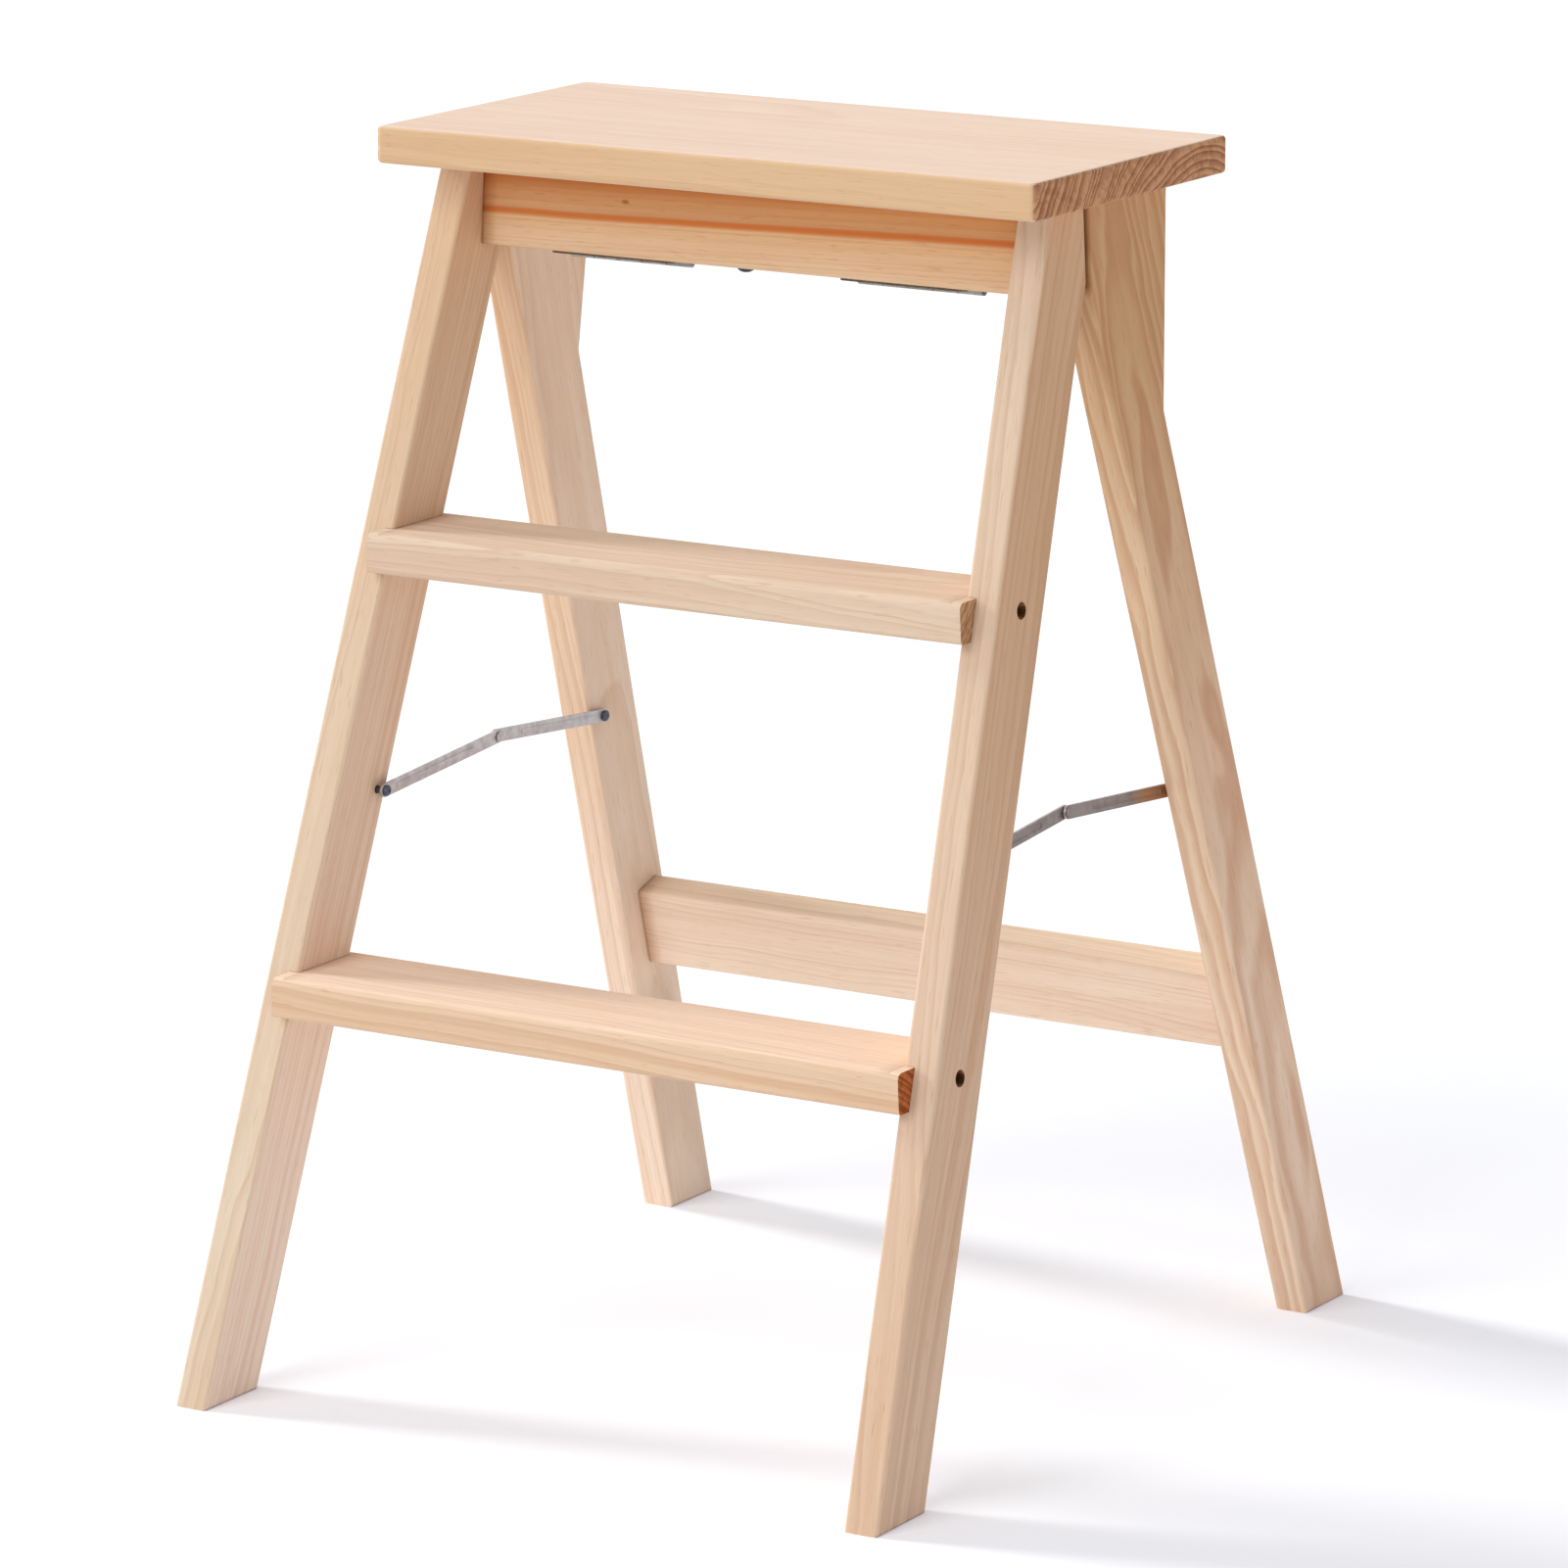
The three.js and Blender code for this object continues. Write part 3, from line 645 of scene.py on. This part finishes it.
boards = {
    "seat_board": {
        "grain": crosswise, "pith": (0.0, 0.09, 0.54), "seed": (3.1, 0.4, 8.2),
        "ringWidth": 4.2 * mm, "streaks": 0.3, "ringStrength": 0.25,
        "highToneLit": (0.985, 0.955, 0.95), "highFrontLit": (0.80, 0.67, 0.49),
        "endPale": (0.71, 0.385, 0.205), "endDark": (0.36, 0.147, 0.072)},
    "front_apron": {
        "grain": (1.0, 0.0, 0.018), "pith": (0.0, -0.05, 0.665), "seed": (1.7, 5.0, 2.2),
        "taper": 0.002, "wander": 0.005, "ripple": 0.001, "heartRadius": 85 * mm,
        # its top is darker and warmer: partly heartwood, partly painted shadow of the seat
        "toneRise": (0.565, 0.605),
        "lowToneLit": (0.90, 0.815, 0.67), "lowFrontLit": (0.90, 0.815, 0.67),
        "highToneLit": (0.965, 0.625, 0.285), "highFrontLit": (0.965, 0.625, 0.285),
        "knot": (-0.074, -0.02, 0.594), "cornerShade": 1.0},
    "upper_rear_rail": {
        "grain": crosswise, "pith": (0.0, 0.09, 0.50), "seed": (6.3, 1.0, 4.4)},
    "lower_rear_rail": {
        "grain": crosswise, "pith": (0.0, 0.10, 0.08), "seed": (2.9, 9.0, 1.2),
        "lowToneLit": (1.08, 1.14, 1.10), "lowFrontLit": (1.07, 1.05, 1.03), "cornerShade": 0.8},
    "middle_tread": {
        "grain": crosswise, "pith": (0.0, -0.05, 0.36), "seed": (4.4, 3.0, 0.3),
        "highToneLit": (0.857, 0.85, 0.80), "highFrontLit": (0.83, 0.80, 0.75),
        "endPale": (0.73, 0.45, 0.245), "endDark": (0.41, 0.20, 0.10),
        "cornerShade": 0.4, "openFront": 1.0},
    "lower_tread": {
        "grain": crosswise, "pith": (0.0, -0.21, 0.15), "seed": (7.7, 2.0, 6.5),
        "lowToneLit": (1.025, 0.97, 0.925), "highToneLit": (1.025, 0.97, 0.925),
        "lowFrontLit": (0.88, 0.785, 0.68), "highFrontLit": (0.88, 0.785, 0.68),
        "endPale": (0.655, 0.205, 0.064), "endDark": (0.338, 0.087, 0.024),
        "cornerShade": 0.4, "openFront": 1.0},
    "left_front_stringer": {
        "grain": leaning(-1, 1), "pith": (-0.13, 0.04, 0.55), "seed": (0.6, 4.1, 3.7),
        "toneRise": (0.1, 0.62),
        "lowToneLit": (1.09, 1.085, 1.12), "highToneLit": (0.80, 0.66, 0.495),
        "lowFrontLit": (0.80, 0.80, 0.745), "highFrontLit": (0.785, 0.69, 0.565),
        "jointShade": 1.0, "screws": ["left_middle_tread_screw", "left_lower_tread_screw"]},
    "right_front_stringer": {
        "grain": leaning(1, 1), "pith": (0.11, 0.03, 0.55), "seed": (5.2, 8.1, 0.9),
        "ringWidth": 4.4 * mm,
        "lowToneLit": (0.955, 0.865, 0.80), "highToneLit": (0.83, 0.655, 0.505),
        "lowFrontLit": (0.78, 0.685, 0.60), "highFrontLit": (0.815, 0.785, 0.73),
        "jointShade": 1.0, "screws": ["right_middle_tread_screw", "right_lower_tread_screw"]},
    "left_rear_leg": {
        "grain": leaning(-1, -1), "pith": (-0.23, 0.03, 0.55), "seed": (8.8, 1.1, 2.6),
        "toneRise": (0.05, 0.52),
        "lowToneLit": (1.03, 1.04, 1.04), "highToneLit": (0.98, 0.95, 0.91),
        "lowFrontLit": (1.07, 1.065, 1.06), "highFrontLit": (1.0, 0.88, 0.735),
        "jointShade": 1.0},
    "right_rear_leg": {
        "grain": leaning(1, -1), "pith": (0.14, 0.052, 0.50), "seed": (2.1, 6.6, 5.1),
        "wander": 0.03, "ripple": 0.009, "softness": 0.7,
        "ringWidth": 6 * mm, "ringStrength": 0.55, "dark": (0.58, 0.255, 0.13),
        "toneRise": (0.18, 0.54),
        "lowToneLit": (1.055, 0.975, 0.91), "highToneLit": (0.77, 0.58, 0.38),
        "lowFrontLit": (0.98, 0.94, 0.86), "highFrontLit": (0.84, 0.73, 0.55),
        "jointShade": 1.0},
}


def dress(node, material):
    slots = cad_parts[node].material_slots
    if not slots:
        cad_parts[node].data.materials.append(material)
    for slot in slots:
        slot.material = material


for node, look in boards.items():
    dress(node, pineMaterial(f"pine_{node}", {**pineBase, **look}))
print("boards finished:", len(boards))


# Modelling helpers

craft = {
    "touch": 0.1 * mm,                   # a place this near counts as the same
    "domeAngle": math.radians(82),       # a dome ends in a small flat
    "sharpAngle": math.radians(40),      # sharper edges are bevelled
    "smoothAngle": math.radians(38),
}


def clearSelection():
    if bpy.context.mode != "OBJECT":
        bpy.ops.object.mode_set(mode="OBJECT")
    bpy.ops.object.select_all(action="DESELECT")


def takeUp(piece):
    # selects this piece alone
    clearSelection()
    piece.select_set(True)
    bpy.context.view_layer.objects.active = piece


def startShaping():
    bpy.ops.object.mode_set(mode="EDIT")


def endShaping():
    bpy.ops.object.mode_set(mode="OBJECT")


def pick(kind, test):
    # in edit mode, selects only the faces, edges or vertices that pass the test
    bpy.ops.mesh.select_mode(type={"faces": "FACE", "edges": "EDGE", "verts": "VERT"}[kind])
    bpy.ops.mesh.select_all(action="DESELECT")
    edited = bmesh.from_edit_mesh(bpy.context.object.data)
    for element in getattr(edited, kind):
        if test(element):
            element.select_set(True)
    bmesh.update_edit_mesh(bpy.context.object.data)


def facesTowards(direction, reach):
    # faces that look along a direction and lie at least this far out
    axis = Vector(direction)
    return lambda face: face.normal.dot(axis) > 0.99 and face.calc_center_median().dot(axis) > reach


def pull(distance, widen=1.0):
    # extrudes the selected faces along Z and widens or narrows their outline
    bpy.ops.mesh.extrude_region_move(TRANSFORM_OT_translate={"value": (0, 0, distance)})
    if widen != 1.0:
        bpy.ops.transform.resize(value=(widen, widen, 1))


def domeUp(height, steps=4, upwards=1):
    # closes the selected round face with a dome
    width = 1.0
    rise = 0.0
    for step in range(1, steps + 1):
        angle = craft["domeAngle"] * step / steps
        pull(upwards * height * (math.sin(angle) - rise), math.cos(angle) / width)
        width = math.cos(angle)
        rise = math.sin(angle)


def finishEdges(piece, width, segments=2):
    takeUp(piece)
    bevel = piece.modifiers.new("softEdges", "BEVEL")
    bevel.width = width
    bevel.segments = segments
    bevel.limit_method = "ANGLE"
    bevel.angle_limit = craft["sharpAngle"]
    bpy.ops.object.modifier_apply(modifier=bevel.name)
    bpy.ops.object.shade_smooth_by_angle(angle=craft["smoothAngle"])


def combine(piece, other, operation):
    takeUp(piece)
    joint = piece.modifiers.new("combine", "BOOLEAN")
    joint.operation = operation
    joint.solver = "EXACT"
    joint.object = other
    bpy.ops.object.modifier_apply(modifier=joint.name)
    bpy.data.objects.remove(other)


def barAt(radius, length, centre, turn=(0, 0, 0), vertices=32):
    clearSelection()
    bpy.ops.mesh.primitive_cylinder_add(
        vertices=vertices, radius=radius, depth=length, location=centre, rotation=turn)
    bpy.ops.object.transform_apply()
    return bpy.context.object


def blockAt(size, centre):
    clearSelection()
    bpy.ops.mesh.primitive_cube_add(size=1, location=centre)
    bpy.context.object.scale = size
    bpy.ops.object.transform_apply()
    return bpy.context.object


def standing(origin, along, out):
    # turns a model so that its X runs along and its Z looks out
    out = Vector(out).normalized()
    along = Vector(along).normalized()
    turn = Matrix((along, out.cross(along), out)).transposed().to_4x4()
    turn.translation = Vector(origin)
    return turn


def fit(model, node, body, material, matrix, side=0):
    # puts a copy of a model in place of a CAD node, and spreads it with the splayed sides
    piece = bpy.data.objects.new(f"{node}_detail", model.data.copy())
    bpy.context.scene.collection.objects.link(piece)
    piece.data.transform(matrix)
    for vertex in piece.data.vertices:
        vertex.co.x += side * stool["splay"] * (stool["seatHeight"] - vertex.co.z)
    piece.data.materials.clear()
    piece.data.materials.append(material)
    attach(piece, body)
    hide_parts(node)


# Steel finishes

steels = {
    "zincStay": {
        "bright": (0.56, 0.515, 0.51), "dull": (0.46, 0.42, 0.42), "speck": (0.30, 0.27, 0.27),
        "metal": 0.75, "roughness": 0.32, "shine": 0.5, "linesAcross": (1500.0, 40.0, 1500.0),
        "backShade": (0.50, 0.45, 0.42),
        "mirrorStart": 62 * mm, "mirrorRun": 20 * mm, "mirrored": (0.40, 0.215, 0.12)},
    "zincHinge": {
        "bright": (0.40, 0.385, 0.37), "dull": (0.27, 0.255, 0.24), "speck": (0.15, 0.13, 0.12),
        "metal": 0.9, "roughness": 0.28, "shine": 0.5, "linesAcross": (40.0, 1500.0, 1500.0)},
    "darkScrew": {
        "bright": (0.10, 0.115, 0.15), "dull": (0.055, 0.06, 0.08), "speck": (0.02, 0.02, 0.025),
        "metal": 0.8, "roughness": 0.3, "shine": 0.5, "linesAcross": (900.0, 900.0, 900.0)},
    # near black and barely shiny: painted shade, so that the bore over the screw reads as dark
    "treadScrew": {
        "bright": (0.025, 0.013, 0.006), "dull": (0.015, 0.008, 0.004), "speck": (0.01, 0.005, 0.003),
        "metal": 0.0, "roughness": 0.6, "shine": 0.05, "linesAcross": (900.0, 900.0, 900.0)},
}
finishes = {name: steelMaterial(name, look) for name, look in steels.items()}
print("steel finishes ready:", len(finishes))


# Screws: head and shank are radii

treadScrew = {"head": 3.9 * mm, "rise": 2.6 * mm, "shank": 1.9 * mm, "length": 38 * mm, "sunk": 6.2 * mm}
apronScrew = {"head": 4.6 * mm, "rise": 3.6 * mm, "shank": 2 * mm, "length": 30 * mm}
leafScrew = {
    "head": 3 * mm,
    "rim": 0.2 * mm,          # the upright edge of the head
    "cone": 0.9 * mm,
    "shank": 1.4 * mm,
    "length": 14 * mm,
    "crossReach": 1.8 * mm,
    "crossDepth": 0.7 * mm,
    "edge": 0.1 * mm,
    "firstTurn": {"front": 100, "rear": 80},  # degrees that the crosses are turned, by leaf
    "turnStep": 47,           # degrees from each cross to the next one
}
roundHead = {
    "rim": 0.25,              # of the rise
    "crossReach": 0.55,       # of the head
    "crossDepth": 0.45,       # of the rise
    "edge": 0.12 * mm,
}
cross = {
    "armWidth": 0.32,         # of the reach
    "footLength": 0.35,       # how far the arms shrink towards their foot
    "footWidth": 0.6,
}
point = {
    "length": 1.6,            # of the shank
    "width": 0.12,
}


def cutCross(piece, top, reach, depth):
    # the driver's cross, tapering inwards
    for turn in (0, math.pi / 2):
        blade = blockAt((2 * reach, cross["armWidth"] * reach, 2 * depth), (0, 0, top))
        startShaping()
        pick("faces", facesTowards((0, 0, -1), -top))
        bpy.ops.transform.resize(value=(cross["footLength"], cross["footWidth"], 1))
        endShaping()
        bpy.ops.transform.rotate(value=turn, orient_axis="Z", center_override=(0, 0, top))
        bpy.ops.object.transform_apply()
        combine(piece, blade, "DIFFERENCE")


def pullShank(size, used=0.0):
    # draws the shank down from the selected face to its point; used is the length already made
    pointLength = point["length"] * size["shank"]
    pull(-(size["length"] - used - pointLength))
    pull(-pointLength, point["width"])


def roundScrew(size):
    # a round head standing on z = 0, with its shank below
    rim = roundHead["rim"] * size["rise"]
    piece = barAt(size["head"], rim, (0, 0, rim / 2))
    startShaping()
    pick("faces", facesTowards((0, 0, 1), rim / 2))
    domeUp(size["rise"] - rim, 5)
    pick("faces", facesTowards((0, 0, -1), -craft["touch"]))
    bpy.ops.mesh.inset(thickness=size["head"] - size["shank"])
    pullShank(size)
    endShaping()
    cutCross(piece, size["rise"],
             roundHead["crossReach"] * size["head"], roundHead["crossDepth"] * size["rise"])
    finishEdges(piece, roundHead["edge"])
    return piece


def flatScrew(size):
    # a countersunk head, flush with z = 0
    piece = barAt(size["head"], size["rim"], (0, 0, -size["rim"] / 2))
    startShaping()
    pick("faces", facesTowards((0, 0, -1), size["rim"] / 2))
    pull(-size["cone"], size["shank"] / size["head"])
    pullShank(size, size["cone"])
    endShaping()
    cutCross(piece, 0, size["crossReach"], size["crossDepth"])
    finishEdges(piece, size["edge"])
    return piece


model = roundScrew(treadScrew)
for level in ("middle", "lower"):
    for side, sign in sides.items():
        node = f"{side}_{level}_tread_screw"
        centre = centreOf(node)
        seat = (sign * (stool["outerFace"] - treadScrew["sunk"]), centre.y, centre.z)
        fit(model, node, "front_frame", finishes["treadScrew"],
            standing(seat, (0, 1, 0), (sign, 0, 0)), sign)
bpy.data.objects.remove(model)

model = roundScrew(apronScrew)
centre = centreOf("apron_screw")
seat = (centre.x, centre.y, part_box("front_apron")[0].z)
fit(model, "apron_screw", "front_frame", finishes["darkScrew"],
    standing(seat, (1, 0, 0), (0, 0, -1)))
bpy.data.objects.remove(model)

model = flatScrew(leafScrew)
for leaf in ("front", "rear"):
    for number in range(1, 7):
        node = f"hinge_{leaf}_screw_{number}"
        centre = centreOf(node)
        seat = (centre.x, centre.y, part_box(node)[0].z)
        turn = math.radians(leafScrew["firstTurn"][leaf] + leafScrew["turnStep"] * number)
        fit(model, node, f"{leaf}_frame", finishes["zincHinge"],
            standing(seat, (math.cos(turn), math.sin(turn), 0), (0, 0, -1)))
bpy.data.objects.remove(model)
print("screws finished")


# Folding stays: two strips with a pressed bead, a rivet between them and a round-head screw at each end

stay = {
    "width": 7 * mm,
    "thick": 1.5 * mm,
    "standoff": 2 * mm,       # strip to board
    "layerGap": 0.3 * mm,
    "bead": 2.6 * mm,
    "beadRise": 0.4 * mm,
    "beadShoulder": 0.8 * mm,
    "beadCrown": 0.1 * mm,
    "beadFromScrew": 8 * mm,
    "beadFromRivet": 22 * mm,
    "screwHole": 2.2 * mm,
    "rivetHole": 2.0 * mm,
    "edge": 0.22 * mm,
}
stayScrew = {
    "head": 3 * mm,
    "rise": 2.2 * mm,
    "shank": 1.9 * mm,
    "frontLength": 17 * mm,
    "rearLength": 2.1 * mm,         # ends short of the leg, which passes it on the way
    "frontCross": (0, 0.8, 0.6),    # where an arm of the cross points
    "rearCross": (0, 0.5, 0.86),
}
rivet = {
    "head": 2.9 * mm,
    "rise": 0.9 * mm,
    "rim": 0.3 * mm,
    "step": 0.02 * mm,              # widens from the shank to the second head
    "shank": 1.7 * mm,
    "edge": 0.1 * mm,
}


def stayStrip(length):
    # lies along X from the screw to the rivet, with its beaded face up
    piece = barAt(stay["width"] / 2, stay["thick"], (0, 0, 0), vertices=34)
    startShaping()
    pick("verts", lambda vert: vert.co.x > 0)
    bpy.ops.transform.translate(value=(length, 0, 0))
    beadStart = stay["beadFromScrew"]
    beadEnd = length - stay["beadFromRivet"]
    for cut in (beadStart, beadEnd):
        bpy.ops.mesh.select_all(action="SELECT")
        bpy.ops.mesh.bisect(plane_co=(cut, 0, 0), plane_no=(1, 0, 0))
    for outwards in (1, -1):
        # the bead is pressed through, so it stands out of one face and is a groove in the other
        level = facesTowards((0, 0, outwards), 0)
        pick("faces", lambda face: level(face) and beadStart < face.calc_center_median().x < beadEnd)
        bpy.ops.mesh.inset(thickness=(stay["width"] - stay["bead"]) / 2)
        pull(stay["beadRise"])
        bpy.ops.mesh.inset(thickness=stay["beadShoulder"])
        pull(stay["beadCrown"])
    endShaping()
    for place, radius in ((0, stay["screwHole"]), (length, stay["rivetHole"])):
        combine(piece, barAt(radius, 4 * stay["thick"], (place, 0, 0)), "DIFFERENCE")
    finishEdges(piece, stay["edge"])
    return piece


def stayRivet(length):
    # a domed head on z = 0 and a second one at the far end of the shank
    piece = barAt(rivet["head"], rivet["rim"], (0, 0, rivet["rim"] / 2))
    startShaping()
    pick("faces", facesTowards((0, 0, 1), rivet["rim"] / 2))
    domeUp(rivet["rise"] - rivet["rim"])
    pick("faces", facesTowards((0, 0, -1), -craft["touch"]))
    bpy.ops.mesh.inset(thickness=rivet["head"] - rivet["shank"])
    pull(-length)
    pull(-rivet["step"], rivet["head"] / rivet["shank"])
    pull(-rivet["rim"])
    domeUp(rivet["rise"] - rivet["rim"] - rivet["step"], upwards=-1)
    endShaping()
    finishEdges(piece, rivet["edge"])
    return piece


def pivotOf(node, sign, layer):
    # the y and z of a screw or rivet, and the x of a plane counted inwards from the side's inner face
    centre = centreOf(node)
    return Vector((sign * (stool["innerFace"] - layer), centre.y, centre.z))


def linkRun(side, link):
    # where a link starts at its own screw, and the run from there to the rivet
    layer = {"front": frontLayer, "rear": rearLayer}[link]
    start = pivotOf(f"{side}_stay_{link}_screw", sides[side], layer)
    return start, pivotOf(f"{side}_stay_rivet", sides[side], layer) - start


rearLayer = stay["standoff"] + stay["thick"] / 2
frontLayer = rearLayer + stay["thick"] + stay["layerGap"]
headRise = stay["thick"] / 2 + stay["layerGap"]  # from the middle of a strip to the heads on it
models = {
    "front": stayStrip(linkRun("left", "front")[1].length),
    "rear": stayStrip(linkRun("left", "rear")[1].length),
    "rivet": stayRivet(2 * stay["thick"] + 3 * stay["layerGap"]),
    "frontScrew": roundScrew({**stayScrew, "length": stayScrew["frontLength"]}),
    "rearScrew": roundScrew({**stayScrew, "length": stayScrew["rearLength"]}),
}
for side, sign in sides.items():
    inwards = Vector((-sign, 0, 0))
    for link in ("front", "rear"):
        start, run = linkRun(side, link)
        fit(models[link], f"{side}_stay_{link}_link", f"{side}_{link}_link",
            finishes["zincStay"], standing(start, run, inwards), sign)
    seat = pivotOf(f"{side}_stay_rivet", sign, frontLayer) + headRise * inwards
    fit(models["rivet"], f"{side}_stay_rivet", f"{side}_front_link", finishes["zincStay"],
        standing(seat, (0, 1, 0), inwards), sign)
    for link, body in (("front", "front_frame"), ("rear", f"{side}_rear_link")):
        seat = linkRun(side, link)[0] + headRise * inwards
        fit(models[f"{link}Screw"], f"{side}_stay_{link}_screw", body, finishes["darkScrew"],
            standing(seat, stayScrew[f"{link}Cross"], inwards), sign)
for model in models.values():
    bpy.data.objects.remove(model)
print("stays finished")


# Butt hinges under the rails: barrel, bore and pin are radii

hinge = {
    "length": 72 * mm,
    "knuckles": 5,
    "barrel": 3 * mm,
    "barrelFacets": 48,
    "bore": 1.75 * mm,
    "gap": 0.5 * mm,
    "leafWidth": 21 * mm,
    "leafThick": 1.2 * mm,
    "cornerRound": 3 * mm,
    "cornerSteps": 6,
    "tabOverlap": 1 * mm,      # how far a knuckle's tab reaches into the leaf
    "screwSpacing": 25 * mm,
    "screwPlay": 0.3 * mm,
    "sinkDepth": 1.6 * mm,     # length of the cone that cuts a countersink
    "sinkFlare": 0.5 * mm,     # how far the cone stands out of the leaf, and its extra radius there
    "edge": 0.12 * mm,
    "pin": 1.45 * mm,
    "pinProud": 0.6 * mm,
    "pinEdge": 0.05 * mm,
}
alongX = (0, math.pi / 2, 0)


def addKnuckle(piece, middle, length, reach, tabReach, tabHeight):
    tab = blockAt((length, tabReach, hinge["leafThick"]), (middle, reach * tabReach / 2, tabHeight))
    combine(piece, tab, "UNION")
    combine(piece, barAt(hinge["barrel"], length, (middle, 0, 0), alongX, hinge["barrelFacets"]), "UNION")


def sinkHole(piece, x, y):
    # a countersunk hole, wide at the leaf's outer face
    outerFace = hinge["barrel"] - hinge["leafThick"]
    hole = leafScrew["shank"] + hinge["screwPlay"]
    mouth = leafScrew["head"] + hinge["screwPlay"] + hinge["sinkFlare"]
    clearSelection()
    bpy.ops.mesh.primitive_cone_add(
        vertices=32, radius1=mouth, radius2=hole, depth=hinge["sinkDepth"],
        location=(x, y, outerFace + hinge["sinkDepth"] / 2 - hinge["sinkFlare"]))
    combine(piece, bpy.context.object, "DIFFERENCE")
    combine(piece, barAt(hole, 2.5 * hinge["leafThick"], (x, y, hinge["barrel"])), "DIFFERENCE")


def hingeLeaf(reach, firstKnuckle):
    # the barrel runs along X through z = 0 and the leaf reaches out along Y; reach is 1 or -1
    middleHeight = hinge["barrel"] - hinge["leafThick"] / 2
    inner = hinge["barrel"] + hinge["gap"]
    piece = blockAt((hinge["length"], hinge["leafWidth"] - inner, hinge["leafThick"]),
                    (0, reach * (hinge["leafWidth"] + inner) / 2, middleHeight))
    startShaping()
    farLine = hinge["leafWidth"] - craft["touch"]
    pick("edges", lambda edge: all(abs(vert.co.y) > farLine for vert in edge.verts)
         and abs(edge.verts[0].co.z - edge.verts[1].co.z) > hinge["leafThick"] / 2)
    bpy.ops.mesh.bevel(offset=hinge["cornerRound"], segments=hinge["cornerSteps"])
    endShaping()
    pitch = hinge["length"] / hinge["knuckles"]
    for knuckle in range(firstKnuckle, hinge["knuckles"], 2):
        middle = (knuckle + 0.5) * pitch - hinge["length"] / 2
        addKnuckle(piece, middle, pitch - hinge["gap"], reach, inner + hinge["tabOverlap"], middleHeight)
    combine(piece, barAt(hinge["bore"], 1.2 * hinge["length"], (0, 0, 0), alongX), "DIFFERENCE")
    for step in (-1, 0, 1):
        sinkHole(piece, step * hinge["screwSpacing"], reach * (hinge["leafWidth"] + hinge["barrel"]) / 2)
    finishEdges(piece, hinge["edge"])
    return piece


def hingePin():
    # stands along Z, with a domed end above and below
    piece = barAt(hinge["pin"], hinge["length"], (0, 0, 0))
    startShaping()
    for end in (1, -1):
        pick("faces", facesTowards((0, 0, end), hinge["length"] / 2 - craft["touch"]))
        domeUp(hinge["pinProud"], upwards=end)
    endShaping()
    finishEdges(piece, hinge["pinEdge"])
    return piece


leaves = {"front": hingeLeaf(-1, 0), "rear": hingeLeaf(1, 1)}
pin = hingePin()
for side in sides:
    axis = centreOf(f"{side}_hinge_pin")
    for leaf, model in leaves.items():
        fit(model, f"{side}_hinge_{leaf}_leaf", f"{leaf}_frame", finishes["zincHinge"],
            Matrix.Translation(axis))
    fit(pin, f"{side}_hinge_pin", "front_frame", finishes["zincHinge"],
        standing(axis, (0, 1, 0), (1, 0, 0)))
for model in (*leaves.values(), pin):
    bpy.data.objects.remove(model)
print("hinges finished")
